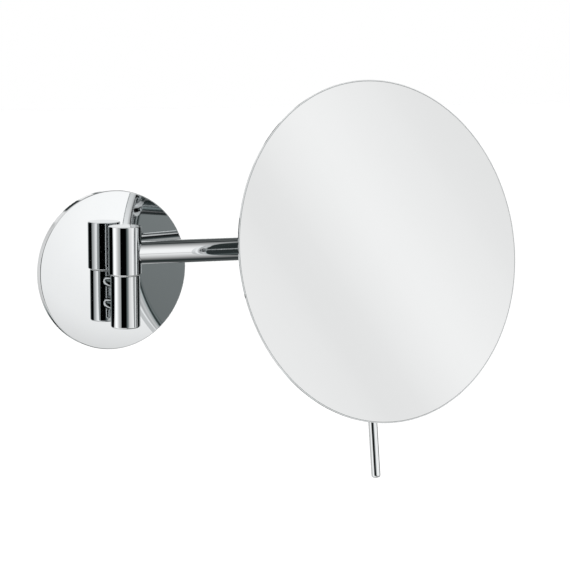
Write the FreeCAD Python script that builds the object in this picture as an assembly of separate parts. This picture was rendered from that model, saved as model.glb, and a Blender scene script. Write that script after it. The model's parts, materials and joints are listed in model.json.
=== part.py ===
# Extendable shaving mirror: a round wall plate carries a stepped hinge post on two short standoffs.
# A sleeve turns on the post and holds one polished tube, the arm. A knuckle turns on the end of the
# arm, about the arm's own axis, and a round mirror head swivels on a pin in the knuckle.
# Millimetres. The wall is the plane y = 0, the mirror stands out along -Y, +Z is up, and the origin
# is the centre of the wall plate on the wall.
import FreeCAD
import Part
import math
import os

Vector = FreeCAD.Vector
ORIGIN = Vector(0, 0, 0)
X = Vector(1, 0, 0)
Y = Vector(0, 1, 0)
Z = Vector(0, 0, 1)

# ---- Driving dimensions -------------------------------------------------------------------------

# Wall plate and what it hides
plate_radius = 46.0
plate_front = 6.0            # wall to the polished face
plate_sheet = 1.2
plate_rim_round = 0.6
plate_rim_gap = 1.8          # wall to the rim's back edge
bracket_base = 1.8
bracket_ring_height = 3.4
bracket_ring_width = 3.0
bracket_clearance = 0.5      # bracket ring inside the plate's rim
lug_width = 10.0
lug_length = 6.0
lug_front_gap = 0.2
wall_screw_radius = 2.4
wall_screw_spacing = 52.0
backing_thickness = 2.4
backing_width = 24.0
backing_height = 58.0
grub_radius = 1.5
grub_length = 8.0
grub_height = 3.0            # wall to the plate grub screw's axis

# Hinge post and sleeve
post_offset = 14.1           # plate face to the hinge axis
post_radius = 8.4
post_bottom = -31.0
post_shoulder = -0.95
post_edge = 1.0
spindle_radius = 4.95
spindle_top = 24.3
standoff_radius = 4.0
standoff_heights = {"upper_standoff": -7.0, "lower_standoff": -19.8}
post_screw_radius = 2.0
post_screw_head = 3.9
post_screw_depth = 8.5       # thread inside the post
sleeve_radius = 9.4
sleeve_top = 27.0
sleeve_roof = 2.2
sleeve_edge = 0.45
bush_wall = 0.98
bush_flange = 0.6
lower_bush_length = 6.5
upper_bush_length = 4.2
brake_height = 17.2
brake_pad_radius = 1.5
brake_groove_depth = 0.85
brake_screw_radius = 2.0
brake_screw_length = 3.0

# Arm
arm_height = 11.53
arm_radius = 6.65
arm_wall = 1.2
arm_reach = 143.15           # hinge axis to the swivel pin, along the arm
root_plug_length = 16.0
arm_screw_radius = 2.0
arm_screw_head = 3.7
arm_screw_length = 15.5
end_plug_length = 16.0
end_plug_flange = 1.2

# Knuckle at the arm's end
knuckle_radius = 7.5
knuckle_inner = 7.0          # swivel pin to the knuckle's face beside the arm
knuckle_outer = 7.5          # swivel pin to the knuckle's free face
tilt_washer = 0.8
tilt_spindle_radius = 3.0
tilt_thread_radius = 2.0
nut_flats = 7.0
nut_thickness = 2.6
nut_pocket_clearance = 0.25   # round the nut's corners
nut_pocket_start = 2.6       # swivel pin to the pocket's floor
spring_washer = 0.8
cap_thickness = 1.1
swivel_offset = 6.5          # arm axis to the swivel pin
lug_round = 6.0
lug_rise = 0.3               # lug's ends beyond the knuckle's round body

# Head
swivel_pin_radius = 2.0
swivel_pin_head = 3.4
swivel_pin_head_height = 1.6
swivel_washer = 0.3
swivel_washer_radius = 5.0
ear_thickness = 3.6
web_clearance = 0.7          # fork's web past the knuckle's free face when turned square
web_thickness = 2.8
hub_radius = 17.0
mirror_distance = 22.0       # swivel pin to the mirror's front
mirror_drop = 5.98           # swivel pin's middle down to the mirror's centre
mirror_radius = 100.0
head_depth = 5.5
rim_land = 0.8
rim_bevel = 1.8
shell_wall = 1.1
rim_lip = 0.55
glass_thickness = 1.95
glass_edge = 0.5
glass_clearance = 0.05
glass_seat = 1.1
glass_arris = 0.15
pad_inner = 30.0
pad_outer = 72.0
head_screw_radius = 1.5
head_screw_head = 2.8
head_screw_cone = 1.3
fork_screw_height = 6.5
hub_screw_offset = 11.0
hub_screw_length = 5.6
web_screw_stop = 0.4         # fork screw's tip short of the web's rear face

# Handle
handle_radius = 2.6
handle_tip = 138.7           # swivel pin's middle to the rod's tip
handle_tip_round = 1.5
ferrule_radius = 4.0
ferrule_height = 4.4
handle_socket = 5.0

# Fits and the rest pose
running = 0.05               # radial, a shaft turning in a hole
face_gap = 0.05              # between flat faces that turn on each other
seated = 0.02                # radial, a pressed or screwed piece
clearance_hole = 0.2         # radial, a screw passing through
arm_angle = 11.0             # arm out from the wall's plane
tilt_angle = 10.8            # mirror facing upwards
swivel_angle = 13.26         # mirror turned away from the arm's line

# ---- Places worked out from the driving dimensions ----------------------------------------------

hinge_y = plate_front + post_offset
sleeve_bore = spindle_radius + running + bush_wall + seated
nut_corner = nut_flats / 2 / math.cos(math.radians(30))
nut_pocket_radius = nut_corner + nut_pocket_clearance
lug_half_height = knuckle_radius + lug_rise
web_start = max(knuckle_outer, lug_round) + web_clearance
sheet_back = plate_front - plate_sheet
backing_back = sheet_back - backing_thickness
sleeve_bottom = post_shoulder + bush_flange
bush_radius = sleeve_bore - seated
upper_bush_start = sleeve_top - sleeve_roof - upper_bush_length
spindle_flat = spindle_radius + 0.4
arm_bore = arm_radius - arm_wall
cope_radius = sleeve_radius + seated
tube_end = arm_reach - knuckle_inner - tilt_washer - end_plug_flange
pocket_floor = arm_reach + nut_pocket_start
nut_start = pocket_floor + spring_washer
ear_start = lug_half_height + swivel_washer + face_gap
ear_end = ear_start + ear_thickness
web_front = web_start + web_thickness
shell_back = mirror_distance - head_depth
shell_floor = head_depth - shell_wall


# ---- Shapes shared by the pieces ----------------------------------------------------------------

def rod(radius, start, end):
    """A round bar between two points."""
    return Part.makeCylinder(radius, (end - start).Length, start, end - start)


def tube(outer, inner, start, end):
    """A round bar with a hole through it."""
    return rod(outer, start, end).cut(rod(inner, start, end))


def cone(radius_start, radius_end, start, end):
    """A tapered bar between two points."""
    return Part.makeCone(radius_start, radius_end, (end - start).Length, start, end - start)


def block(low, high):
    """A rectangular block between two opposite corners."""
    size = high - low
    return Part.makeBox(size.x, size.y, size.z, low)


def arc(centre, radius, start_degrees, end_degrees):
    """An arc in the XY plane, given by its centre, radius and two angles."""
    points = []
    for degrees in (start_degrees, (start_degrees + end_degrees) / 2, end_degrees):
        a = math.radians(degrees)
        points.append(centre + Vector(radius * math.cos(a), radius * math.sin(a), 0))
    return Part.Arc(*points).toShape()


def line(start, end):
    return Part.LineSegment(start, end).toShape()


def turned(edges):
    """The solid that a closed outline in the XY plane (x = radius, y = depth) makes about Y."""
    face = Part.Face(Part.Wire(edges))
    solid = face.revolve(ORIGIN, Y, 360)
    return Part.makeSolid(solid) if solid.ShapeType == "Shell" else solid


def outline(points):
    """The edges of a closed outline through the points."""
    corners = [Vector(x, y, 0) for x, y in points]
    return [line(a, b) for a, b in zip(corners, corners[1:] + corners[:1])]


def countersunk(radius, head_radius, head_height, start, end):
    """A screw with a cone head at start and its tip at end, and a square driver recess."""
    along = (end - start).normalize()
    neck = start + along * head_height
    screw = cone(head_radius, radius, start, neck).fuse(rod(radius, neck, end))
    recess = rod(radius * 0.6, start, start + along * head_height * 0.7)
    return screw.cut(recess).removeSplitter()


def countersunk_hole(radius, head_radius, head_height, start, end):
    """The cut that such a screw needs, a little wider than the screw."""
    along = (end - start).normalize()
    neck = start + along * head_height
    head = cone(head_radius + seated, radius + seated, start, neck)
    return head.fuse(rod(radius + seated, start, end))


def grub(radius, start, end):
    """A headless screw with a hexagon socket at its start."""
    along = (end - start).normalize()
    socket = rod(radius * 0.5, start, start + along * radius)
    return rod(radius, start, end).cut(socket)


def chamfered(shape, size, test):
    """Bevels the edges that pass the test."""
    edges = [edge for edge in shape.Edges if test(edge)]
    return shape.makeChamfer(size, edges)


def rounded(shape, size, test):
    edges = [edge for edge in shape.Edges if test(edge)]
    return shape.makeFillet(size, edges)


def flat_circle_at(height, radius):
    """True for a level round edge of this radius at this height."""
    def test(edge):
        box = edge.BoundBox
        level = abs(box.ZMin - height) < 1e-3 and abs(box.ZMax - height) < 1e-3
        return level and abs(box.XLength - 2 * radius) < 1e-2
    return test


def export(name, shape):
    shape.exportStep("parts/" + name + ".step")


# ---- Where each group stands at rest ------------------------------------------------------------

def at_hinge(shape):
    """From the hinge's own frame, with its axis on Z, to the wall's frame."""
    shape.translate(Vector(0, -hinge_y, 0))
    return shape


def on_arm(shape):
    """From the arm's frame, where the arm lies along +X from the hinge axis."""
    shape.rotate(ORIGIN, Z, -arm_angle)
    shape.translate(Vector(0, 0, arm_height))
    return at_hinge(shape)


def on_knuckle(shape):
    """From the knuckle's frame, which is the arm's frame before the knuckle is tilted."""
    shape.rotate(ORIGIN, X, -tilt_angle)
    return on_arm(shape)


def on_head(shape):
    """From the head's frame, where the swivel pin is on Z and the mirror faces -Y."""
    shape.rotate(ORIGIN, Z, swivel_angle)
    shape.translate(Vector(arm_reach, -swivel_offset, 0))
    return on_knuckle(shape)


def from_mirror(shape):
    """From the mirror's own frame, where its front is y = 0, to the wall's frame."""
    shape.translate(Vector(0, -mirror_distance, -mirror_drop))
    return on_head(shape)


# ---- Wall group ---------------------------------------------------------------------------------

def wall_plate():
    """A turned cap: flat polished face, crisp rim, holes for the post screws and the grub screw."""
    rim_centre = Vector(plate_radius - plate_rim_round, -(plate_front - plate_rim_round), 0)
    inner_radius = plate_radius - plate_sheet
    rim_back = -plate_rim_gap
    edges = [
        line(Vector(0, -plate_front, 0), Vector(rim_centre.x, -plate_front, 0)),
        arc(rim_centre, plate_rim_round, -90, 0),
        line(Vector(plate_radius, rim_centre.y, 0), Vector(plate_radius, rim_back, 0)),
        line(Vector(plate_radius, rim_back, 0), Vector(inner_radius, rim_back, 0)),
        line(Vector(inner_radius, rim_back, 0), Vector(inner_radius, -sheet_back, 0)),
        line(Vector(inner_radius, -sheet_back, 0), Vector(0, -sheet_back, 0)),
        line(Vector(0, -sheet_back, 0), Vector(0, -plate_front, 0)),
    ]
    plate = turned(edges)
    for height in standoff_heights.values():
        hole = rod(post_screw_radius + clearance_hole, Vector(0, 0, height), Vector(0, -hinge_y, height))
        plate = plate.cut(hole)
    grub_way = rod(grub_radius + clearance_hole, Vector(0, -grub_height, -plate_radius * 1.1),
                   Vector(0, -grub_height, -plate_radius * 0.9))
    return plate.cut(grub_way)


def wall_bracket():
    """A shallow dish screwed to the wall, with a lug that takes the plate's grub screw."""
    outer = plate_radius - plate_sheet - bracket_clearance
    dish = turned(outline([
        (0, 0),
        (outer, 0),
        (outer, -bracket_ring_height),
        (outer - bracket_ring_width, -bracket_ring_height),
        (outer - bracket_ring_width, -bracket_base),
        (0, -bracket_base),
    ]))
    lug_front = -(sheet_back - lug_front_gap)
    lug_outer = outer - 1.1
    lug = block(Vector(-lug_width / 2, lug_front, -lug_outer),
                Vector(lug_width / 2, -bracket_base / 2, -lug_outer + lug_length))
    dish = dish.fuse(lug)
    bore = rod(grub_radius + seated, Vector(0, -grub_height, -plate_radius), Vector(0, -grub_height, 0))
    dish = dish.cut(bore)
    for side in (-1, 1):
        at = side * wall_screw_spacing / 2
        dish = dish.cut(rod(wall_screw_radius, Vector(at, 0, 0), Vector(at, -plate_front, 0)))
    return dish.removeSplitter()


def plate_grub_screw():
    start = plate_radius - 0.3
    return grub(grub_radius, Vector(0, -grub_height, -start), Vector(0, -grub_height, -start + grub_length))


def post_screw_span(height):
    """Start and tip of a post screw at this height."""
    tip = hinge_y - post_radius + post_screw_depth
    return Vector(0, -backing_back, height), Vector(0, -tip, height)


def backing_plate():
    """The strip inside the wall plate that spreads the load of the post screws."""
    plate = block(Vector(-backing_width / 2, -sheet_back, -backing_height / 2),
                  Vector(backing_width / 2, -backing_back, backing_height / 2))
    for height in standoff_heights.values():
        start, end = post_screw_span(height)
        head_height = post_screw_head - post_screw_radius
        plate = plate.cut(countersunk_hole(post_screw_radius, post_screw_head, head_height, start, end))
    return plate


def post_screws():
    screws = []
    for height in standoff_heights.values():
        start, end = post_screw_span(height)
        screws.append(countersunk(post_screw_radius, post_screw_head,
                                  post_screw_head - post_screw_radius, start, end))
    return Part.makeCompound(screws)


def standoff(height):
    """A short round spacer, hollowed at its front end to sit on the round post."""
    spacer = tube(standoff_radius, post_screw_radius + clearance_hole,
                  Vector(0, -plate_front, height), Vector(0, -hinge_y, height))
    post = Part.makeCylinder(post_radius + seated, 4 * standoff_radius,
                             Vector(0, -hinge_y, height - 2 * standoff_radius))
    return spacer.cut(post)


def hinge_post():
    """A turned bar: the visible lower post, and the spindle that the sleeve turns on."""
    post = rod(post_radius, Vector(0, 0, post_bottom), Vector(0, 0, post_shoulder))
    post = rounded(post, post_edge, flat_circle_at(post_bottom, post_radius))
    spindle = rod(spindle_radius, Vector(0, 0, post_shoulder - 1), Vector(0, 0, spindle_top))
    groove_half = brake_pad_radius + 3 * running
    groove = tube(spindle_radius + 1, spindle_radius - brake_groove_depth,
                  Vector(0, 0, brake_height - groove_half), Vector(0, 0, brake_height + groove_half))
    post = at_hinge(post.fuse(spindle).cut(groove))
    for height in standoff_heights.values():
        start, end = post_screw_span(height)
        post = post.cut(rod(post_screw_radius + seated, start, end))
    return post.removeSplitter()


# ---- Arm group ----------------------------------------------------------------------------------

def sleeve_and_screw_frame(shape):
    """From the sleeve's frame, where the arm leaves along +X, to the wall's frame."""
    shape.rotate(ORIGIN, Z, -arm_angle)
    return at_hinge(shape)


def arm_screw_span():
    return Vector(spindle_flat, 0, 0), Vector(spindle_flat + arm_screw_length, 0, 0)


def hinge_sleeve():
    """The blind sleeve that turns on the spindle, bored for the arm's screw and the brake screw."""
    body = rod(sleeve_radius, Vector(0, 0, sleeve_bottom), Vector(0, 0, sleeve_top))
    body = chamfered(body, sleeve_edge, flat_circle_at(sleeve_top, sleeve_radius))
    body = rounded(body, sleeve_edge, flat_circle_at(sleeve_bottom, sleeve_radius))
    bore = rod(sleeve_bore, Vector(0, 0, sleeve_bottom - 1), Vector(0, 0, sleeve_top - sleeve_roof))
    start, end = arm_screw_span()
    arm_hole = countersunk_hole(arm_screw_radius, arm_screw_head, arm_screw_head - arm_screw_radius,
                                start, end)
    arm_hole.translate(Vector(0, 0, arm_height))
    brake_hole = rod(brake_screw_radius + seated, Vector(0, 0, brake_height),
                     Vector(0, 2 * sleeve_radius, brake_height))
    return sleeve_and_screw_frame(body.cut(bore).cut(arm_hole).cut(brake_hole))


def lower_bush():
    """A flanged bush: its flange is the thin line between the sleeve and the post."""
    inner = bush_radius - bush_wall
    low = Vector(0, 0, post_shoulder + face_gap)
    body = tube(bush_radius, inner, low, Vector(0, 0, sleeve_bottom + lower_bush_length))
    flange = tube(post_radius - 0.3, inner, low, Vector(0, 0, sleeve_bottom))
    return sleeve_and_screw_frame(body.fuse(flange).removeSplitter())


def upper_bush():
    return sleeve_and_screw_frame(tube(bush_radius, bush_radius - bush_wall,
                                       Vector(0, 0, upper_bush_start),
                                       Vector(0, 0, upper_bush_start + upper_bush_length)))


def brake_pad():
    """A nylon plug in the spindle's groove: it brakes the sleeve and keeps it from lifting off."""
    inner = spindle_radius - brake_groove_depth + running
    outer = sleeve_radius - sleeve_edge - brake_screw_length
    return sleeve_and_screw_frame(rod(brake_pad_radius, Vector(0, inner, brake_height),
                                      Vector(0, outer, brake_height)))


def brake_screw():
    outer = sleeve_radius - sleeve_edge
    return sleeve_and_screw_frame(grub(brake_screw_radius, Vector(0, outer, brake_height),
                                       Vector(0, outer - brake_screw_length, brake_height)))


def arm_screw():
    start, end = arm_screw_span()
    return on_arm(countersunk(arm_screw_radius, arm_screw_head, arm_screw_head - arm_screw_radius,
                              start, end))


def cope(shape):
    """Hollows the arm's root end to sit on the round sleeve."""
    sleeve = Part.makeCylinder(cope_radius, 4 * arm_radius, Vector(0, 0, -2 * arm_radius))
    return shape.cut(sleeve)


def arm_root_plug():
    """A plug pressed into the tube, tapped for the screw that comes from inside the sleeve."""
    start, end = arm_screw_span()
    plug = rod(arm_bore - seated, Vector(0, 0, 0), Vector(sleeve_radius + root_plug_length, 0, 0))
    return on_arm(cope(plug.cut(rod(arm_screw_radius + seated, ORIGIN, end + X * 0.5))))


def arm_tube():
    return on_arm(cope(tube(arm_radius, arm_bore, ORIGIN, Vector(tube_end, 0, 0))))


def arm_end_plug():
    """A plug pressed into the tube's free end, with the spindle that the knuckle turns on."""
    flange_end = tube_end + end_plug_flange
    plug = rod(arm_bore - seated, Vector(tube_end - end_plug_length, 0, 0), Vector(tube_end, 0, 0))
    flange = rod(arm_radius, Vector(tube_end, 0, 0), Vector(flange_end, 0, 0))
    spindle = rod(tilt_spindle_radius, Vector(flange_end, 0, 0), Vector(pocket_floor, 0, 0))
    thread_end = nut_start + nut_thickness + 0.2
    thread = rod(tilt_thread_radius, Vector(pocket_floor, 0, 0), Vector(thread_end, 0, 0))
    return on_arm(plug.fuse([flange, spindle, thread]).removeSplitter())


def tilt_friction_washer():
    return on_arm(tube(arm_radius - 0.3, tilt_spindle_radius + running,
                       Vector(tube_end + end_plug_flange, 0, 0),
                       Vector(arm_reach - knuckle_inner - face_gap, 0, 0)))


def tilt_spring_washer():
    return on_arm(tube(nut_pocket_radius - 0.3, tilt_thread_radius + seated,
                       Vector(pocket_floor, 0, 0), Vector(nut_start, 0, 0)))


def tilt_nut():
    """A thin hexagon nut that loads the spring washer."""
    points = []
    for i in range(7):
        a = math.radians(60 * i)
        points.append(Vector(nut_start, nut_corner * math.cos(a), nut_corner * math.sin(a)))
    hexagon = Part.Face(Part.makePolygon(points)).extrude(X * nut_thickness)
    bore = rod(tilt_thread_radius + seated, Vector(nut_start - 1, 0, 0),
               Vector(nut_start + nut_thickness + 1, 0, 0))
    return on_arm(hexagon.cut(bore))


# ---- Knuckle group ------------------------------------------------------------------------------

def tilt_knuckle():
    """Turns about the arm's axis. Its lug holds the swivel pin upright, in front of that axis."""
    inner_face = arm_reach - knuckle_inner
    outer_face = arm_reach + knuckle_outer
    collar = rod(knuckle_radius, Vector(inner_face, 0, 0), Vector(outer_face, 0, 0))
    lug = block(Vector(arm_reach - lug_round, -swivel_offset, -lug_half_height),
                Vector(arm_reach + lug_round, 0, lug_half_height))
    nose = rod(lug_round, Vector(arm_reach, -swivel_offset, -lug_half_height),
               Vector(arm_reach, -swivel_offset, lug_half_height))
    body = collar.fuse([lug, nose])
    spindle_bore = rod(tilt_spindle_radius + running, Vector(inner_face - 1, 0, 0),
                       Vector(outer_face + 1, 0, 0))
    pocket = rod(nut_pocket_radius, Vector(pocket_floor, 0, 0), Vector(outer_face + 1, 0, 0))
    pin_bore = rod(swivel_pin_radius + running, Vector(arm_reach, -swivel_offset, -ear_end),
                   Vector(arm_reach, -swivel_offset, ear_end))
    return on_knuckle(body.cut(spindle_bore).cut(pocket).cut(pin_bore).removeSplitter())


def knuckle_cap():
    """A plug that closes the nut's pocket."""
    outer_face = arm_reach + knuckle_outer
    return on_knuckle(rod(nut_pocket_radius - seated, Vector(outer_face - cap_thickness, 0, 0),
                          Vector(outer_face, 0, 0)))


def swivel_washers():
    washers = []
    for side in (-1, 1):
        washers.append(on_head(tube(swivel_washer_radius, swivel_pin_radius + running,
                                    Vector(0, 0, side * lug_half_height),
                                    Vector(0, 0, side * (ear_start - face_gap)))))
    return Part.makeCompound(washers)


# ---- Head group ---------------------------------------------------------------------------------

def fork_screw_span(side):
    """A long screw from inside the shell, through the hub, into the fork's web."""
    height = side * fork_screw_height
    return (Vector(0, -(shell_back + shell_wall), height),
            Vector(0, -(web_start + web_screw_stop), height))


def hub_screw_span(side):
    """A short screw from inside the shell into the hub."""
    start = shell_back + shell_wall
    return (Vector(side * hub_screw_offset, -start, 0),
            Vector(side * hub_screw_offset, -(start - hub_screw_length), 0))


def head_screw_cuts():
    cuts = []
    for side in (-1, 1):
        for start, end in (fork_screw_span(side), hub_screw_span(side)):
            cuts.append(countersunk_hole(head_screw_radius, head_screw_head, head_screw_cone, start, end))
    return cuts


def head_screws(span):
    screws = []
    for side in (-1, 1):
        start, end = span(side)
        screws.append(on_head(countersunk(head_screw_radius, head_screw_head, head_screw_cone,
                                          start, end)))
    return Part.makeCompound(screws)


def hub_fork():
    """A U-shaped fork: two ears over and under the knuckle's lug, joined by a web at the hub."""
    fork = block(Vector(-lug_round, -web_front, -ear_end), Vector(lug_round, -web_start, ear_end))
    for low, high in ((ear_start, ear_end), (-ear_end, -ear_start)):
        fork = fork.fuse(block(Vector(-lug_round, -web_start, low), Vector(lug_round, 0, high)))
        fork = fork.fuse(rod(lug_round, Vector(0, 0, low), Vector(0, 0, high)))
    fork = fork.cut(rod(swivel_pin_radius + seated, Vector(0, 0, -ear_end - 1), Vector(0, 0, ear_end + 1)))
    for side in (-1, 1):
        start, end = fork_screw_span(side)
        fork = fork.cut(rod(head_screw_radius + seated, start, end))
    return on_head(fork.removeSplitter())


def hub_disc():
    """The round boss between the fork and the shell."""
    disc = rod(hub_radius, Vector(0, -web_front, 0), Vector(0, -shell_back, 0))
    for cut in head_screw_cuts():
        disc = disc.cut(cut)
    return on_head(disc)


def back_shell():
    """The polished back: a thin lip round the glass, a bevel, a soft round and a flat back."""
    bevel_end = mirror_radius - rim_bevel
    bevel_depth = rim_land + rim_bevel
    back_round = (head_depth - bevel_depth) / (1 - math.cos(math.radians(45)))
    flat_radius = bevel_end - back_round * math.sin(math.radians(45))
    centre = Vector(flat_radius, head_depth - back_round, 0)
    inner_round = back_round - shell_wall
    pocket = mirror_radius - rim_lip
    seat_outer = pocket - (glass_thickness - glass_edge)
    seat_inner = seat_outer - glass_seat
    inner_angle = math.degrees(math.acos((seat_inner - flat_radius) / inner_round))
    seat_depth = centre.y + inner_round * math.sin(math.radians(inner_angle))
    edges = [
        line(Vector(0, shell_floor, 0), Vector(0, head_depth, 0)),
        line(Vector(0, head_depth, 0), Vector(flat_radius, head_depth, 0)),
        arc(centre, back_round, 90, 45),
        line(Vector(bevel_end, bevel_depth, 0), Vector(mirror_radius, rim_land, 0)),
        line(Vector(mirror_radius, rim_land, 0), Vector(mirror_radius, 0, 0)),
        line(Vector(mirror_radius, 0, 0), Vector(pocket, 0, 0)),
        line(Vector(pocket, 0, 0), Vector(pocket, glass_edge, 0)),
        line(Vector(pocket, glass_edge, 0), Vector(seat_outer, glass_thickness, 0)),
        line(Vector(seat_outer, glass_thickness, 0), Vector(seat_inner, glass_thickness, 0)),
        line(Vector(seat_inner, glass_thickness, 0), Vector(seat_inner, seat_depth, 0)),
        arc(centre, inner_round, inner_angle, 90),
        line(Vector(flat_radius, shell_floor, 0), Vector(0, shell_floor, 0)),
    ]
    shell = from_mirror(turned(edges))
    for cut in head_screw_cuts():
        shell = shell.cut(on_head(cut))
    return shell


def mirror_glass():
    """The silvered glass disc, with its rear edge ground back to drop into the shell."""
    outer = mirror_radius - rim_lip - glass_clearance
    return from_mirror(turned(outline([
        (0, 0),
        (outer - glass_arris, 0),
        (outer, glass_arris),
        (outer, glass_edge),
        (outer - (glass_thickness - glass_edge), glass_thickness),
        (0, glass_thickness),
    ])))


def mirror_pad():
    """The foam ring, sticky on both faces, that holds the glass to the shell."""
    return from_mirror(tube(pad_outer, pad_inner, Vector(0, glass_thickness, 0),
                            Vector(0, shell_floor, 0)))


def swivel_pin():
    """Fixed in the fork's ears: a round head above, a threaded end below for ferrule and handle."""
    head = rod(swivel_pin_head, Vector(0, 0, ear_end), Vector(0, 0, ear_end + swivel_pin_head_height))
    head = chamfered(head, 0.4, flat_circle_at(ear_end + swivel_pin_head_height, swivel_pin_head))
    low_end = ear_end + ferrule_height + handle_socket - 0.3
    shank = rod(swivel_pin_radius, Vector(0, 0, -low_end), Vector(0, 0, ear_end + 0.2))
    return on_head(head.fuse(shank).removeSplitter())


def handle_ferrule():
    """The round nut that clamps the pin in the ears and seats the handle."""
    low = -(ear_end + ferrule_height)
    ferrule = rod(ferrule_radius, Vector(0, 0, low), Vector(0, 0, -ear_end))
    ferrule = chamfered(ferrule, 0.6, flat_circle_at(low, ferrule_radius))
    bore = rod(swivel_pin_radius + seated, Vector(0, 0, low - 1), Vector(0, 0, 0))
    return on_head(ferrule.cut(bore))


def handle_rod():
    """The slim rod that hangs behind the mirror and shows below its rim."""
    top = -(ear_end + ferrule_height)
    handle = rod(handle_radius, Vector(0, 0, -handle_tip), Vector(0, 0, top))
    handle = rounded(handle, handle_tip_round, flat_circle_at(-handle_tip, handle_radius))
    socket = rod(swivel_pin_radius + seated, Vector(0, 0, top - handle_socket), Vector(0, 0, top))
    return on_head(handle.cut(socket))


# ---- Export -------------------------------------------------------------------------------------

def main():
    os.makedirs("parts", exist_ok=True)
    pieces = {
        "wall_bracket": wall_bracket(),
        "wall_plate": wall_plate(),
        "plate_grub_screw": plate_grub_screw(),
        "backing_plate": backing_plate(),
        "post_screws": post_screws(),
        "hinge_post": hinge_post(),
        "hinge_sleeve": hinge_sleeve(),
        "lower_bush": lower_bush(),
        "upper_bush": upper_bush(),
        "brake_pad": brake_pad(),
        "brake_screw": brake_screw(),
        "arm_screw": arm_screw(),
        "arm_root_plug": arm_root_plug(),
        "arm_tube": arm_tube(),
        "arm_end_plug": arm_end_plug(),
        "tilt_friction_washer": tilt_friction_washer(),
        "tilt_spring_washer": tilt_spring_washer(),
        "tilt_nut": tilt_nut(),
        "tilt_knuckle": tilt_knuckle(),
        "knuckle_cap": knuckle_cap(),
        "swivel_washers": swivel_washers(),
        "swivel_pin": swivel_pin(),
        "hub_fork": hub_fork(),
        "hub_disc": hub_disc(),
        "fork_screws": head_screws(fork_screw_span),
        "hub_screws": head_screws(hub_screw_span),
        "back_shell": back_shell(),
        "mirror_pad": mirror_pad(),
        "mirror_glass": mirror_glass(),
        "handle_ferrule": handle_ferrule(),
        "handle_rod": handle_rod(),
    }
    for name, height in standoff_heights.items():
        pieces[name] = standoff(height)
    for name, shape in pieces.items():
        export(name, shape)
        box = shape.BoundBox
        print(f"{name}: {len(shape.Solids)} solid(s), {shape.Volume:.0f} mm3, valid {shape.isValid()}, "
              f"x {box.XMin:.1f}..{box.XMax:.1f} y {box.YMin:.1f}..{box.YMax:.1f} "
              f"z {box.ZMin:.1f}..{box.ZMax:.1f}")


main()
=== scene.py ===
# %% [markdown]
# # A shaving mirror on a swinging wall arm
# The object is a round wall plate, a stepped hinge post on two short standoffs, one polished tube
# that swings on the post, and a round mirror head on a knuckle at the tube's end. Nearly all of it
# is chrome, so its look is made of two things: clean, exact surfaces, and what they reflect.
#
# The engineering model comes first and stays as it is. It could be shown directly, but its meshes
# are coarse, which shows at once in polished metal. So every piece that can be seen is modelled
# again here, finely, at the sizes that are measured on the engineering model, and the hidden pieces
# keep their engineering meshes and get a proper material.

# %% Load the engineering model
import json
import math

import bmesh
import bpy
from mathutils import Matrix, Vector


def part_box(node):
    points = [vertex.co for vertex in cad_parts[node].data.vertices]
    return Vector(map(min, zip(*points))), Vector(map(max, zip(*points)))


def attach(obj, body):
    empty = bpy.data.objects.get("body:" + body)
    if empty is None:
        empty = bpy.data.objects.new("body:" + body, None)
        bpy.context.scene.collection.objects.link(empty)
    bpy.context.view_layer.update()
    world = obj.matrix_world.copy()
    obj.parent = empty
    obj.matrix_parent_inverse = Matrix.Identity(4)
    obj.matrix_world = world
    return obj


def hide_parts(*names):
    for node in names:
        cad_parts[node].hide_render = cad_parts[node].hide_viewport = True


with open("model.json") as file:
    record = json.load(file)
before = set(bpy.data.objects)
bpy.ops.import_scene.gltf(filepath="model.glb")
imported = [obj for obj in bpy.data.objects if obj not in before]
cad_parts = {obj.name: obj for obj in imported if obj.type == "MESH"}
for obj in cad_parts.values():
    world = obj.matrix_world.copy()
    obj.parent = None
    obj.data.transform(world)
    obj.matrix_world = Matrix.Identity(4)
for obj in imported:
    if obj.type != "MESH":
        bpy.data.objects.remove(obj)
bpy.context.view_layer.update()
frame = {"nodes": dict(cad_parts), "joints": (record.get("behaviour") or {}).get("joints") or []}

MM = 0.001

# %% [markdown]
# ## Frames to work in
# The arm stands out from the wall at an angle, and the head is tilted and turned on it. Modelling
# such pieces in place would need awkward numbers. The usual way is a local frame for each group:
# the piece is modelled upright at the origin, with its own axis on Z, and is moved to its place
# once, at the end. The frames here come from the joints' axes, so they can't drift from the model.


# %% Local frames from the joints
def axes_at(origin, along, side):
    """A frame whose Z lies along a piece, and whose X is as near to the side direction as it can be."""
    z = Vector(along).normalized()
    x = (Vector(side) - z * z.dot(Vector(side))).normalized()
    place = Matrix((x, z.cross(x), z)).transposed().to_4x4()
    place.translation = Vector(origin)
    return place


def node_points(node, place):
    """A node's vertices, seen from a local frame."""
    inward = place.inverted()
    return [inward @ vertex.co for vertex in frame["nodes"][node].data.vertices]


def extent(node, place):
    """Lowest and highest corner of a node in a local frame, in metres."""
    points = node_points(node, place)
    low = Vector([round(min(p[i] for p in points), 6) for i in range(3)])
    high = Vector([round(max(p[i] for p in points), 6) for i in range(3)])
    return low, high


def radius_of(node, place):
    """The largest distance of a node's vertices from the local Z axis."""
    return round(max(math.hypot(p.x, p.y) for p in node_points(node, place)), 6)


joint = {j["name"]: j for j in frame["joints"]}
swing_at = Vector(joint["arm_swing"]["pos_m"])
tilt_at = Vector(joint["head_tilt"]["pos_m"])
pin_at = Vector(joint["head_swivel"]["pos_m"])
arm_axis = Vector(joint["head_tilt"]["axis"])
pin_axis = Vector(joint["head_swivel"]["axis"])
UP = Vector((0, 0, 1))

glass_faces = frame["nodes"]["mirror_glass"].data.polygons
facing = max(glass_faces, key=lambda face: face.area).normal.copy()
if facing.y > 0:
    facing.negate()

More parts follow.
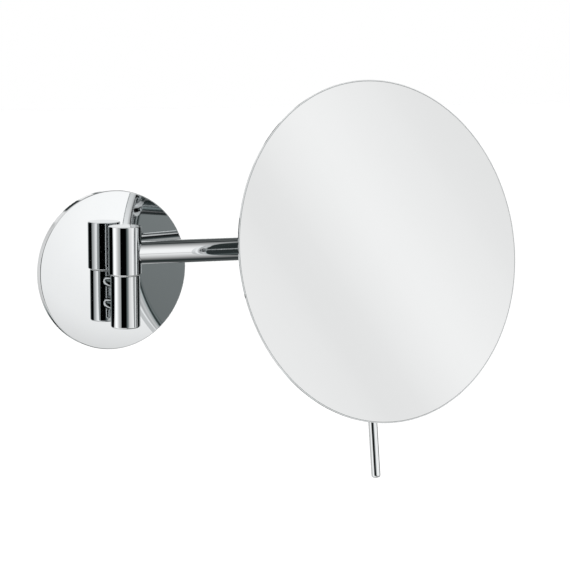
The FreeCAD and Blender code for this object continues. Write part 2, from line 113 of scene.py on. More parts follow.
WALL = axes_at((0, 0, 0), (0, -1, 0), (1, 0, 0))
POST = axes_at((swing_at.x, swing_at.y, 0), UP, (1, 0, 0))
ARM = axes_at(swing_at, arm_axis, UP)
KNUCKLE = axes_at(tilt_at, arm_axis, pin_axis)
PIN = axes_at(pin_at, pin_axis, pin_axis.cross(facing))
HUB = axes_at(pin_at, facing, pin_axis)
glass_low, glass_high = extent("mirror_glass", HUB)
glass_middle = (glass_low + glass_high) / 2
mirror_at = HUB @ Vector((glass_middle.x, glass_middle.y, glass_high.z))
MIRROR = axes_at(mirror_at, facing, pin_axis)
print("arm reach", round((tilt_at - swing_at).length / MM, 2), "mm; mirror front",
      round(glass_high.z / MM, 2), "mm in front of the pin; hub",
      round(-glass_middle.x / MM, 2), "mm above the mirror's centre")

# %% [markdown]
# ## The camera
# A product like this is shown from the front left and a little above, with a long lens, so that the
# plate and the disc stay nearly true ellipses. The camera could be aimed with a
# constraint; three direction vectors are simpler to read, and they can carry the slight roll.

# %% Camera
CAMERA_AT = Vector((-0.389814, -0.836101, 0.127489))
LOOK = Vector((0.513833, 0.84524, -0.146783)).normalized()
ROLL = math.radians(0.425)
LENS = 101.05
SENSOR = 36.0

level_right = LOOK.cross(UP).normalized()
right = (level_right * math.cos(ROLL) + level_right.cross(LOOK) * math.sin(ROLL)).normalized()
upward = right.cross(LOOK)
camera = bpy.data.objects.new("camera", bpy.data.cameras.new("camera"))
bpy.context.scene.collection.objects.link(camera)
camera.matrix_world = Matrix((right, upward, -LOOK)).transposed().to_4x4()
camera.location = CAMERA_AT
camera.data.lens = LENS
camera.data.sensor_width = SENSOR
bpy.context.scene.camera = camera
print("camera", round((CAMERA_AT - mirror_at).length, 3), "m from the mirror, lens", LENS, "mm")

# %% [markdown]
# ## Lathe work
# Most of these pieces are turned on a lathe or spun over a form. A cylinder with bevelled ends can
# stand for the simple ones. A stepped or domed piece is easier as an outline that is spun round its
# axis: one vertex is pushed along the outline by extrusion, and the spin operator sweeps it. The
# doubled points at the seam and the poles are merged before the normals are made consistent.


# %% Turned pieces from an outline
SMALL = 1e-6


def arc(centre, radius, start, end, count):
    """Points of an outline on an arc. Angles are in degrees, 0 outwards and 90 along the axis."""
    points = []
    for i in range(count + 1):
        angle = math.radians(start + (end - start) * i / count)
        points.append((centre[0] + radius * math.cos(angle), centre[1] + radius * math.sin(angle)))
    return points


def turn(name, profile, steps):
    """Spins an outline of (radius, height) points round the Z axis."""
    bpy.ops.object.select_all(action="DESELECT")
    bpy.ops.mesh.primitive_plane_add(size=MM, location=(0, 0, 0))
    piece = bpy.context.object
    piece.name = name
    piece.data.name = name
    bpy.ops.object.mode_set(mode="EDIT")
    bpy.ops.mesh.select_mode(type="VERT")
    bpy.ops.mesh.select_all(action="SELECT")
    bpy.ops.mesh.merge(type="CENTER")
    bpy.ops.transform.translate(value=(profile[0][0], 0, profile[0][1]))
    for start, end in zip(profile, profile[1:]):
        step = (end[0] - start[0], 0, end[1] - start[1])
        bpy.ops.mesh.extrude_vertices_move(TRANSFORM_OT_translate={"value": step})
    bpy.ops.mesh.select_all(action="SELECT")
    bpy.ops.mesh.spin(steps=steps, angle=math.tau, center=(0, 0, 0), axis=(0, 0, 1))
    bpy.ops.mesh.select_all(action="SELECT")
    bpy.ops.mesh.remove_doubles(threshold=SMALL)
    bpy.ops.mesh.normals_make_consistent(inside=False)
    bpy.ops.object.mode_set(mode="OBJECT")
    return piece


# %% [markdown]
# ## Mill and drill work
# The other pieces start from a cylinder or a block. Their edges and faces are picked in code by
# where they lie, and are then bevelled, inset and extruded as by hand. Holes could be modelled into
# the faces too, but a round hole in a round wall is exactly what a boolean does well. The named sizes
# are the radii of the holes for M3 and M4 screws, and the gap of a close fit.


# %% Bars and blocks
def bar(name, radius, start, end, sides=128):
    """A round bar between two points of the local frame."""
    run = Vector(end) - Vector(start)
    turned = Vector((0, 0, 1)).rotation_difference(run)
    bpy.ops.object.select_all(action="DESELECT")
    bpy.ops.mesh.primitive_cylinder_add(vertices=sides, radius=radius, depth=run.length,
                                        location=(Vector(start) + Vector(end)) / 2,
                                        rotation=turned.to_euler())
    piece = bpy.context.object
    piece.name = name
    piece.data.name = name
    bpy.ops.object.transform_apply(location=True, rotation=True, scale=True)
    return piece


def block(name, centre, size):
    """A square block of this size round a centre of the local frame."""
    bpy.ops.object.select_all(action="DESELECT")
    bpy.ops.mesh.primitive_cube_add(size=1, location=centre, scale=size)
    piece = bpy.context.object
    piece.name = name
    piece.data.name = name
    bpy.ops.object.transform_apply(location=True, rotation=True, scale=True)
    return piece


# %% Picks and rims
SCREW_3, SCREW_4 = 1.52 * MM, 2.02 * MM
SNUG = 0.02 * MM


def make_active(piece):
    """Selects one piece, and nothing else."""
    bpy.ops.object.select_all(action="DESELECT")
    piece.select_set(True)
    bpy.context.view_layer.objects.active = piece


def pick(piece, kind, test):
    """Selects the edges or faces that pass a test, and nothing else, in edit mode."""
    bpy.ops.mesh.select_mode(type=kind)
    bpy.ops.mesh.select_all(action="DESELECT")
    mesh = bmesh.from_edit_mesh(piece.data)
    members = mesh.edges if kind == "EDGE" else mesh.faces
    chosen = [member for member in members if test(member)]
    for member in chosen:
        member.select_set(True)
    bmesh.update_edit_mesh(piece.data)
    return len(chosen)


def at_height(height):
    """True for an edge or a face that lies level at this height."""
    return lambda member: all(abs(vertex.co.z - height) < SMALL for vertex in member.verts)


def round_rim(piece, height, size, segments):
    """Rounds the rim of a turned piece at this height. One segment makes a chamfer."""
    make_active(piece)
    bpy.ops.object.mode_set(mode="EDIT")
    pick(piece, "EDGE", at_height(height))
    bpy.ops.mesh.bevel(offset=size, offset_type="OFFSET", segments=segments, affect="EDGES",
                       clamp_overlap=False)
    bpy.ops.object.mode_set(mode="OBJECT")


# %% Bores and holes
def blind_bore(piece, wall, mouth, depth):
    """Bores a piece from its end at the mouth's height: the end face is inset and pushed in."""
    make_active(piece)
    bpy.ops.object.mode_set(mode="EDIT")
    pick(piece, "FACE", at_height(mouth))
    bpy.ops.mesh.inset(thickness=wall, depth=0)
    bpy.ops.mesh.extrude_region_move(TRANSFORM_OT_translate={"value": (0, 0, depth)})
    bpy.ops.object.mode_set(mode="OBJECT")


def through_bore(piece, wall, low, high):
    """Makes a bar into a tube: both end faces are inset, and the inner rings are bridged."""
    make_active(piece)
    bpy.ops.object.mode_set(mode="EDIT")
    ends = (at_height(low), at_height(high))
    pick(piece, "FACE", lambda face: any(end(face) for end in ends))
    bpy.ops.mesh.inset(thickness=wall, depth=0)
    bpy.ops.mesh.bridge_edge_loops()
    bpy.ops.object.mode_set(mode="OBJECT")


def combine(piece, other, operation):
    """Applies a boolean with another mesh, and throws that mesh away."""
    make_active(piece)
    bpy.ops.object.modifier_add(type="BOOLEAN")
    modifier = piece.modifiers[-1]
    modifier.operation = operation
    modifier.solver = "EXACT"
    modifier.object = other
    bpy.ops.object.modifier_apply(modifier=modifier.name)
    bpy.data.objects.remove(other)


def drill(piece, radius, start, end, sides=48):
    """Cuts a straight hole between two points."""
    combine(piece, bar("drill", radius, start, end, sides), "DIFFERENCE")


# %% [markdown]
# ## Finishing a piece
# Flat faces next to small rounds are the hard part of polished metal: if a rim's normals lean, the
# whole flat face seems bent. Extra edge loops beside each round would cure it. The Weighted Normal
# modifier does the same without more faces, because it lets the large face decide.


# %% Finish: place, shade, ride
CREASE = math.radians(32)
made = []


def finish_piece(piece, place, body, slot_name, *nodes):
    """Moves a finished mesh to its place, smooths it, ties it to its body, and hides the nodes it stands
    for.
    """
    make_active(piece)
    piece.matrix_world = place
    bpy.ops.object.transform_apply(location=True, rotation=True, scale=True)
    bpy.ops.object.shade_smooth_by_angle(angle=CREASE)
    bpy.ops.object.modifier_add(type="WEIGHTED_NORMAL")
    modifier = piece.modifiers[-1]
    modifier.keep_sharp = True
    bpy.ops.object.modifier_apply(modifier=modifier.name)
    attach(piece, body)
    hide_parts(*nodes)
    made.append(piece)
    print(f"{piece.name}: {len(piece.data.polygons)} faces, "
          f"{[round(side / MM, 1) for side in piece.dimensions]} mm")
    return piece


# %% [markdown]
# ## Wall plate
# The plate is a turned cap: a flat polished face, a crisp rim with a small round, and an open back.
# Its outline runs along the outside and back along the inside, one wall thickness away. A solidified
# disc would do as well, but the outline keeps the edge's round exact. The holes for the two post
# screws and the grub screw are drilled. A boolean is least sure where an edge runs exactly through a
# corner of the drill, so the spin has a number of steps that keeps its edges clear of them.

# %% Wall plate sizes
plate_low, plate_high = extent("wall_plate", WALL)
plate_radius = radius_of("wall_plate", WALL)
plate_front = plate_high.z
plate_sheet = 1.2 * MM
plate_round = 0.6 * MM
plate_steps = 238
screw_way = 2.2 * MM
grub_way = 1.7 * MM
post_screw_heights = [sum(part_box(node)[i].z for i in range(2)) / 2
                      for node in ("upper_standoff", "lower_standoff")]
print("plate", round(2 * plate_radius / MM, 1), "mm across; post screws at",
      [round(height / MM, 1) for height in post_screw_heights], "mm")

# %% Wall plate
rim_centre = (plate_radius - plate_round, plate_front - plate_round)
plate_inside = plate_radius - plate_sheet
plate_outline = [(0, plate_front)]
plate_outline += arc(rim_centre, plate_round, 90, 0, 8)
plate_outline += [(plate_radius, plate_low.z), (plate_inside, plate_low.z),
                  (plate_inside, plate_front - plate_sheet), (0, plate_front - plate_sheet)]
wall_plate = turn("plate_cap", plate_outline, plate_steps)
for height in post_screw_heights:
    drill(wall_plate, screw_way, (0, height, 0), (0, height, 2 * plate_front))
grub_low, grub_high = extent("plate_grub_screw", WALL)
grub_height = (grub_low.z + grub_high.z) / 2
drill(wall_plate, grub_way, (0, -1.1 * plate_radius, grub_height),
      (0, -0.9 * plate_radius, grub_height))
finish_piece(wall_plate, WALL, "wall_mount", "polished_chrome", "wall_plate")

# %% [markdown]
# ## Wall bracket
# Behind the plate a shallow zinc-plated dish is screwed to the wall. Only its flat base can be seen,
# from behind, with its two screw holes. It could be one block with pockets; as one turned outline the
# flat base and the raised ring come together, and the lug for the grub screw is a small block that is
# joined to it.

# %% Bracket sizes
bracket_radius = radius_of("wall_bracket", WALL)
bracket_high = extent("wall_bracket", WALL)[1].z
base = 1.8 * MM
ring_height = 3.4 * MM
ring_width = 3.0 * MM
edge = 0.2 * MM
lug_inset, lug_width, lug_depth = 1.1 * MM, 10 * MM, 6 * MM
lug_corner, lug_top = 0.8 * MM, 0.3 * MM
wall_screw_reach, wall_screw_way = 26 * MM, 2.4 * MM
print("bracket", round(2 * bracket_radius / MM, 1), "mm across, wall screws",
      round(2 * wall_screw_reach / MM, 1), "mm apart")

# %% Bracket dish
dish_outline = [(0, 0), (bracket_radius - edge, 0)]
dish_outline += [(bracket_radius, edge), (bracket_radius, ring_height - edge),
                 (bracket_radius - edge, ring_height),
                 (bracket_radius - ring_width + edge, ring_height),
                 (bracket_radius - ring_width, ring_height - edge),
                 (bracket_radius - ring_width, base), (0, base)]
bracket = turn("bracket_dish", dish_outline, 192)

# %% Bracket lug and holes
lug_outer = -(bracket_radius - lug_inset)
lug_size = Vector((lug_width, lug_depth, bracket_high - base / 2))
lug = block("lug", (0, lug_outer + lug_size.y / 2, base / 2 + lug_size.z / 2), lug_size)
bpy.ops.object.mode_set(mode="EDIT")
pick(lug, "EDGE", lambda e: abs(e.verts[0].co.z - e.verts[1].co.z) > SMALL)
bpy.ops.mesh.bevel(offset=lug_corner, segments=5, affect="EDGES")
pick(lug, "EDGE", at_height(bracket_high))
bpy.ops.mesh.bevel(offset=lug_top, segments=3, affect="EDGES")
bpy.ops.object.mode_set(mode="OBJECT")
combine(bracket, lug, "UNION")
drill(bracket, SCREW_3, (0, -plate_radius, grub_height), (0, 0, grub_height))
for screw_x in (-wall_screw_reach, wall_screw_reach):
    drill(bracket, wall_screw_way, (screw_x, 0, -base), (screw_x, 0, 2 * base), 64)
finish_piece(bracket, WALL, "wall_mount", "plain_steel", "wall_bracket")

# %% [markdown]
# ## Hinge post
# The post is one turned bar. Its lower half is the part that shows; above the shoulder it becomes a
# slimmer spindle, inside the sleeve, with a groove for the brake pad. It could be stacked from
# cylinders, but an outline spun once gives the steps, the groove and the soft bottom edge together.

# %% Hinge post
post_low, post_high = extent("hinge_post", POST)
post_radius = radius_of("hinge_post", POST)
spindle_radius = 4.95 * MM
shoulder = -0.95 * MM
bottom_round = 1.0 * MM
spindle_chamfer = 0.5 * MM
groove_low, groove_high, groove_radius = 15.55 * MM, 18.85 * MM, 4.1 * MM
break_edge = 0.15 * MM

post_outline = [(0, post_low.z)]
post_outline += arc((post_radius - bottom_round, post_low.z + bottom_round), bottom_round, -90, 0, 10)
post_outline += [(post_radius, shoulder - break_edge), (post_radius - break_edge, shoulder),
                 (spindle_radius, shoulder), (spindle_radius, groove_low), (groove_radius, groove_low),
                 (groove_radius, groove_high), (spindle_radius, groove_high),
                 (spindle_radius, post_high.z - spindle_chamfer),
                 (spindle_radius - spindle_chamfer, post_high.z), (0, post_high.z)]
post = turn("post", post_outline, 160)
for height in post_screw_heights:
    drill(post, SCREW_4, (0, 2 * post_radius, height), (0, 0, height))
finish_piece(post, POST, "wall_mount", "polished_chrome", "hinge_post")

# %% [markdown]
# ## Standoffs
# Two short round spacers hold the post off the plate. Each is a bored bar whose front end is hollowed
# to sit on the round post. The hollow could be modelled by moving end vertices onto a circle; cutting
# with a cylinder of the post's size gives the same saddle in one step. The second is a copy.

# %% Standoffs
upper_screw = axes_at((0, 0, post_screw_heights[0]), (0, -1, 0), (1, 0, 0))
standoff_radius = radius_of("upper_standoff", upper_screw)
axis_out = -swing_at.y


def coped_standoff(name):
    """A spacer at the origin's height, with its front end saddled on the post."""
    spacer = bar(name, standoff_radius, (0, 0, plate_front), (0, 0, axis_out), 96)
    through_bore(spacer, standoff_radius - screw_way, plate_front, axis_out)
    saddle = bar("saddle", post_radius + SNUG, (0, -3 * standoff_radius, axis_out),
                 (0, 3 * standoff_radius, axis_out), 160)
    combine(spacer, saddle, "DIFFERENCE")
    return spacer


spacer = coped_standoff("standoff_upper")
make_active(spacer)
bpy.ops.object.duplicate(linked=False)
second = bpy.context.object
second.name = "standoff_lower"
second.data.name = "standoff_lower"
for piece, node, height in ((spacer, "upper_standoff", post_screw_heights[0]),
                            (second, "lower_standoff", post_screw_heights[1])):
    finish_piece(piece, WALL @ Matrix.Translation((0, height, 0)), "wall_mount", "polished_chrome", node)

# %% [markdown]
# ## Hinge sleeve
# The sleeve is a blind cap that turns on the spindle. It could be spun like the post. With so plain a
# shape it starts as a cylinder: the bore is an inset of the bottom face pushed up inside, and both
# outer rims are bevelled to small rounds. Then it is drilled for the arm's screw and, at the back,
# for the brake screw.

# %% Hinge sleeve
sleeve_low, sleeve_high = extent("hinge_sleeve", POST)
sleeve_radius = radius_of("hinge_sleeve", POST)
sleeve_bore = 6.0 * MM
sleeve_roof = 2.2 * MM
sleeve_edge = 0.45 * MM
brake_height = 17.2 * MM

sleeve = bar("sleeve", sleeve_radius, (0, 0, sleeve_low.z), (0, 0, sleeve_high.z), 160)
blind_bore(sleeve, sleeve_radius - sleeve_bore, sleeve_low.z, sleeve_high.z - sleeve_roof - sleeve_low.z)
make_active(sleeve)
bpy.ops.object.mode_set(mode="EDIT")
for height, segments in ((sleeve_high.z, 3), (sleeve_low.z, 5)):
    rim_level = at_height(height)
    pick(sleeve, "EDGE", lambda e: rim_level(e) and all(v.co.xy.length > sleeve_bore + MM for v in e.verts))
    bpy.ops.mesh.bevel(offset=sleeve_edge, segments=segments, affect="EDGES", clamp_overlap=False)
bpy.ops.object.mode_set(mode="OBJECT")
arm_turn = math.atan2(arm_axis.y, arm_axis.x)
toward_arm = Vector((math.cos(arm_turn), math.sin(arm_turn), 0))
away_back = Vector((-toward_arm.y, toward_arm.x, 0))
arm_lift = Vector((0, 0, swing_at.z))
brake_lift = Vector((0, 0, brake_height))
drill(sleeve, SCREW_4, arm_lift, toward_arm * 2 * sleeve_radius + arm_lift)
drill(sleeve, SCREW_4, brake_lift, away_back * 2 * sleeve_radius + brake_lift)
finish_piece(sleeve, POST, "arm", "polished_chrome", "hinge_sleeve")

# %% [markdown]
# ## Arm tube
# The arm is a thin tube whose root is coped to the sleeve, so the joint between the two reads as one
# clean curved line. A curve with a round bevel could give the tube, but not the cope. So it is a bar
# with a bridged bore, cut by a cylinder of the sleeve's size.

# %% Arm tube
arm_radius = radius_of("arm_tube", ARM)
arm_wall = 1.2 * MM
tube_end = extent("arm_tube", ARM)[1].z
tube = bar("tube", arm_radius, (0, 0, 0), (0, 0, tube_end), 160)
through_bore(tube, arm_wall, 0, tube_end)
cope = bar("cope", sleeve_radius + SNUG, (-2 * arm_radius, 0, 0), (2 * arm_radius, 0, 0), 200)
combine(tube, cope, "DIFFERENCE")
finish_piece(tube, ARM, "arm", "polished_chrome", "arm_tube")

# %% [markdown]
# ## Arm end plug
# The plug closes the tube's far end. All that shows is a thin collar as wide as the tube, and beyond
# it runs the spindle that the knuckle turns on, with a thread for the nut. It is one turned part on
# the real object too, so it is spun from one outline.

# %% Arm end plug
plug_low, plug_high = extent("arm_end_plug", ARM)
flange_end = extent("tilt_friction_washer", ARM)[0].z
plug_radius = arm_radius - arm_wall - SNUG
reach = (tilt_at - swing_at).length
pocket_at = 2.6 * MM
pocket_floor = reach + pocket_at
spindle, thread = 3.0 * MM, 2.0 * MM
plug_outline = [(0, plug_low.z), (plug_radius, plug_low.z), (plug_radius, tube_end)]
plug_outline += [(arm_radius - break_edge, tube_end), (arm_radius, tube_end + break_edge)]
plug_outline += [(arm_radius, flange_end - break_edge), (arm_radius - break_edge, flange_end)]
plug_outline += [(spindle, flange_end), (spindle, pocket_floor), (thread, pocket_floor),
                 (thread, plug_high.z - break_edge), (thread - break_edge, plug_high.z), (0, plug_high.z)]
end_plug = turn("end_plug", plug_outline, 128)
finish_piece(end_plug, ARM, "arm", "polished_chrome", "arm_end_plug")

# %% [markdown]
# ## Small socket screws
# Two headless screws can be seen if one looks for them: the brake screw in the sleeve's back, and the
# one that holds the plate from below. Each is a short chamfered bar with a hexagon socket. The socket
# is a six-sided drill, which is simpler than modelling a hexagon into a round face.


# %% Socket screws
SOCKET_SHARE = 0.55


def socket_screw(name, radius, length):
    """A headless screw along Z from the origin, with its socket at the origin's end."""
    screw = bar(name, radius, (0, 0, 0), (0, 0, length), 64)
    round_rim(screw, 0, 0.2 * MM, 1)
    round_rim(screw, length, 0.3 * MM, 1)
    drill(screw, radius * SOCKET_SHARE, (0, 0, -MM), (0, 0, radius), 6)
    return screw


brake_start = POST @ (away_back * (sleeve_radius - sleeve_edge) + brake_lift)
brake_place = axes_at(brake_start, -away_back, UP)
brake_screw = socket_screw("brake_grub", 2.0 * MM, 3.0 * MM)
finish_piece(brake_screw, brake_place, "arm", "plain_steel", "brake_screw")

grub_place = axes_at(WALL @ Vector((0, grub_low.y, grub_height)), UP, (1, 0, 0))
plate_screw = socket_screw("plate_grub", 1.5 * MM, grub_high.y - grub_low.y)
finish_piece(plate_screw, grub_place, "wall_mount", "plain_steel", "plate_grub_screw")

# %% [markdown]
# ## Knuckle
# The knuckle is a short collar on the arm's axis, with a lug in front that carries the swivel pin. The
# lug starts as a cylinder round the pin: a bisect keeps its front half, and the cut face is extruded
# back into the collar. Collar and lug get their soft edges first and are joined last, so the corner
# between them stays crisp, as on the cast and machined part.

# %% Knuckle sizes
knuckle_low, knuckle_high = extent("tilt_knuckle", KNUCKLE)
past_lug = 6.5 * MM
knuckle_radius = round(max(math.hypot(p.x, p.y) for p in node_points("tilt_knuckle", KNUCKLE)
                           if p.z > past_lug), 6)
pin_forward = round((KNUCKLE.inverted() @ pin_at).y, 6)
lug_half = knuckle_high.x
lug_round = 6.0 * MM
soft = 0.4 * MM
running = 0.05 * MM
pin_way = 2.05 * MM
print("knuckle", round(2 * knuckle_radius / MM, 1), "mm across, its pin",
      round(pin_forward / MM, 1), "mm forward")

# %% Knuckle collar and lug
collar = bar("knuckle", knuckle_radius, (0, 0, knuckle_low.z), (0, 0, knuckle_high.z), 128)
round_rim(collar, knuckle_low.z, soft, 4)
round_rim(collar, knuckle_high.z, soft, 4)

nose = bar("nose", lug_round, (-lug_half, pin_forward, 0), (lug_half, pin_forward, 0), 96)
make_active(nose)
bpy.ops.object.mode_set(mode="EDIT")
bpy.ops.mesh.select_all(action="SELECT")
bpy.ops.mesh.bisect(plane_co=(0, pin_forward, 0), plane_no=(0, -1, 0), use_fill=True, clear_outer=True)
pick(nose, "FACE", lambda face: face.normal.y < -0.99)
bpy.ops.mesh.extrude_region_move(TRANSFORM_OT_translate={"value": (0, -pin_forward, 0)})
bpy.ops.mesh.select_all(action="SELECT")
bpy.ops.mesh.dissolve_limited(angle_limit=math.radians(0.5))
pick(nose, "EDGE", lambda e: all(abs(abs(v.co.x) - lug_half) < SMALL for v in e.verts)
     and e.verts[0].co.x * e.verts[1].co.x > 0 and max(v.co.y for v in e.verts) > SMALL)
bpy.ops.mesh.bevel(offset=soft, segments=4, affect="EDGES", clamp_overlap=False)
bpy.ops.object.mode_set(mode="OBJECT")
combine(collar, nose, "UNION")

# %% Knuckle bores
cap_radius = radius_of("knuckle_cap", KNUCKLE)
pocket_radius = cap_radius + SNUG
drill(collar, spindle + running, (0, 0, 2 * knuckle_low.z), (0, 0, 2 * knuckle_high.z))
drill(collar, pocket_radius, (0, 0, pocket_at), (0, 0, 2 * knuckle_high.z), 96)
drill(collar, pin_way, (-2 * lug_half, pin_forward, 0), (2 * lug_half, pin_forward, 0))
finish_piece(collar, KNUCKLE, "knuckle", "polished_chrome", "tilt_knuckle")

# %% [markdown]
# ## Knuckle cap
# A pressed-in disc closes the knuckle's pocket and hides the nut. Its face is flat and its rim soft. An
# inset and a scaled face would do; bevelling the rim of a short bar is quicker and truly round.

# %% Knuckle cap
cap_low, cap_high = extent("knuckle_cap", KNUCKLE)
cap = bar("knuckle_plug", cap_radius, (0, 0, cap_low.z), (0, 0, cap_high.z), 96)
round_rim(cap, cap_high.z, 0.25 * MM, 3)
finish_piece(cap, KNUCKLE, "knuckle", "polished_chrome", "knuckle_cap")

# %% [markdown]
# ## Fork
# The fork is a U: a web against the hub and two ears that hold the pin above and below the knuckle. It
# could be joined from four boxes. Here it is one block whose back face is bisected twice; the two
# outer strips are extruded into ears, and the ears' ends are bevelled until they are half round.

# %% Fork sizes
fork_low, fork_high = extent("hub_fork", PIN)
ear_start = 8.15 * MM
web_back = 8.2 * MM
fork_half = lug_round
web_front = -fork_low.y
web_screw_reach, hub_screw_reach = 6.5 * MM, 11 * MM
web_screw_end = 8.6 * MM
NEARLY = 0.999
close_points = 0.02 * MM
print("fork", round(2 * fork_high.z / MM, 1), "mm high, its web",
      round((web_front - web_back) / MM, 1), "mm thick")

# %% Fork block and ears
fork = block("fork", (0, -(web_front + web_back) / 2, 0),
             (2 * fork_half, web_front - web_back, 2 * fork_high.z))
bpy.ops.object.mode_set(mode="EDIT")
for height in (-ear_start, ear_start):
    bpy.ops.mesh.select_all(action="SELECT")
    bpy.ops.mesh.bisect(plane_co=(0, 0, height), plane_no=(0, 0, 1))
pick(fork, "FACE", lambda f: f.normal.y > 0.99 and abs(f.calc_center_median().z) > ear_start)
bpy.ops.mesh.extrude_region_move(TRANSFORM_OT_translate={"value": (0, web_back + fork_half, 0)})
pick(fork, "EDGE", lambda e: all(abs(v.co.y - fork_half) < SMALL for v in e.verts)
     and abs(e.verts[0].co.z - e.verts[1].co.z) > MM)
bpy.ops.mesh.bevel(offset=fork_half * NEARLY, segments=24, affect="EDGES", clamp_overlap=False)
bpy.ops.mesh.select_all(action="SELECT")
bpy.ops.mesh.remove_doubles(threshold=close_points)
bpy.ops.mesh.dissolve_limited(angle_limit=math.radians(0.5))
bpy.ops.object.mode_set(mode="OBJECT")

# %% Fork edges and holes
bpy.ops.object.modifier_add(type="BEVEL")
softened = fork.modifiers[-1]
softened.width = 0.35 * MM
softened.segments = 4
softened.limit_method = "ANGLE"
softened.angle_limit = math.radians(40)
bpy.ops.object.modifier_apply(modifier=softened.name)
drill(fork, SCREW_4, (0, 0, 2 * fork_low.z), (0, 0, 2 * fork_high.z))
for screw_z in (-web_screw_reach, web_screw_reach):
    drill(fork, SCREW_3, (0, -2 * web_front, screw_z), (0, -web_screw_end, screw_z), 32)
finish_piece(fork, PIN, "head", "polished_chrome", "hub_fork")

# %% [markdown]
# ## Hub disc
# The hub is a thick round disc between the fork and the back shell. It could be spun; a bar with one
# softened rim is the same with less. Four screws come from inside the shell. Two pass right through
# the hub into the fork, and two end in the hub, so their holes stop short of its rear face.

# %% Hub disc
hub_low, hub_high = extent("hub_disc", HUB)
hub_radius = radius_of("hub_disc", HUB)
hub = bar("hub", hub_radius, (0, 0, hub_low.z), (0, 0, hub_high.z), 160)
round_rim(hub, hub_low.z, 0.7 * MM, 5)
web_screws = [(reach_out, 0, hub_low.z - MM) for reach_out in (-web_screw_reach, web_screw_reach)]
hub_screws = [(0, reach_out, hub_low.z + MM / 2) for reach_out in (-hub_screw_reach, hub_screw_reach)]
head_screws = web_screws + hub_screws
for x, y, start in head_screws:
    drill(hub, SCREW_3, (x, y, start), (x, y, hub_high.z + MM), 32)
finish_piece(hub, HUB, "head", "polished_chrome", "hub_disc")

# %% [markdown]
# ## Swivel pin
# The pin joins fork and knuckle. Its shank is hidden, and its head shows above the upper ear as a low
# button. Two cylinders would leave a hard corner on the head. The outline is spun, with a small round
# in place of the corner.

# %% Swivel pin
pin_low, pin_high = extent("swivel_pin", PIN)
pin_head = radius_of("swivel_pin", PIN)
ear_end = fork_high.z
shank = 2.0 * MM
chamfer = 0.4 * MM
pin_outline = [(0, pin_low.z), (shank - break_edge, pin_low.z), (shank, pin_low.z + break_edge),
               (shank, ear_end), (pin_head - break_edge, ear_end), (pin_head, ear_end + break_edge),
               (pin_head, pin_high.z - chamfer)]
pin_outline += arc((pin_head - chamfer, pin_high.z - chamfer), chamfer, 15, 90, 5)
pin_outline += [(0, pin_high.z)]
finish_piece(turn("pin", pin_outline, 96), PIN, "head", "polished_chrome", "swivel_pin")

# %% [markdown]
# ## Ferrule and handle
# The pin's lower end is covered by a short ferrule, and the handle rod hangs below it. Both are bars
# with their own edges: the ferrule a chamfer below, and the handle's tip almost a half ball, so that
# it is kind to a finger. A sphere joined to the rod would leave a seam in the polish.

# %% Ferrule and handle
ferrule_low, ferrule_high = extent("handle_ferrule", PIN)
ferrule_radius = radius_of("handle_ferrule", PIN)
ferrule = bar("ferrule", ferrule_radius, (0, 0, ferrule_low.z), (0, 0, ferrule_high.z), 96)
through_bore(ferrule, ferrule_radius - shank - SNUG, ferrule_low.z, ferrule_high.z)
make_active(ferrule)
bpy.ops.object.mode_set(mode="EDIT")
for height, size in ((ferrule_low.z, 0.6 * MM), (ferrule_high.z, 0.2 * MM)):
    rim_level = at_height(height)
    pick(ferrule, "EDGE", lambda e: rim_level(e) and all(v.co.xy.length > shank + MM for v in e.verts))
    bpy.ops.mesh.bevel(offset=size, segments=3, affect="EDGES", clamp_overlap=False)
bpy.ops.object.mode_set(mode="OBJECT")
finish_piece(ferrule, PIN, "head", "polished_chrome", "handle_ferrule")

handle_low, handle_high = extent("handle_rod", PIN)
handle_radius = radius_of("handle_rod", PIN)
handle_tip = 1.5 * MM
handle_bore = 5 * MM
handle = bar("handle", handle_radius, (0, 0, handle_low.z), (0, 0, handle_high.z), 96)
round_rim(handle, handle_low.z, handle_tip, 12)
round_rim(handle, handle_high.z, break_edge, 2)
drill(handle, shank + SNUG, (0, 0, handle_high.z - handle_bore), (0, 0, handle_high.z + MM))
finish_piece(handle, PIN, "head", "polished_chrome", "handle_rod")

# %% [markdown]
# ## Back shell
# The mirror's back is a shallow spun shell. From its thin front lip it goes back a little, turns in at
# 45 degrees, and runs in one soft round into the flat back. Inside there is a ledge for the glass. A
# solidified dish would have no ledge, so it is turned as one closed outline, from the middle of the
# floor out over the rim and back again.

# %% Back shell sizes
shell_depth = -extent("back_shell", MIRROR)[0].z
shell_radius = radius_of("back_shell", MIRROR)
glass_radius = radius_of("mirror_glass", MIRROR)
glass_depth = glass_high.z - glass_low.z
shell_wall = 1.1 * MM
rim_land = 0.8 * MM
rim_bevel = 1.8 * MM
pocket = glass_radius + running
glass_edge = 0.5 * MM
glass_seat = 1.1 * MM
shell_screw_way = 1.6 * MM
BEVEL = math.radians(45)

bevel_foot = (shell_radius - rim_bevel, -(rim_land + rim_bevel))
back_round = (shell_depth - rim_land - rim_bevel) / (1 - math.cos(BEVEL))
flat_radius = bevel_foot[0] - back_round * math.sin(BEVEL)
round_centre = (flat_radius, -(shell_depth - back_round))
seat_outer = pocket - (glass_depth - glass_edge)
seat_inner = seat_outer - glass_seat
inner_round = back_round - shell_wall
inner_angle = math.degrees(math.acos((seat_inner - flat_radius) / inner_round))
print("shell", round(shell_depth / MM, 2), "mm deep, its round", round(back_round / MM, 2), "mm")

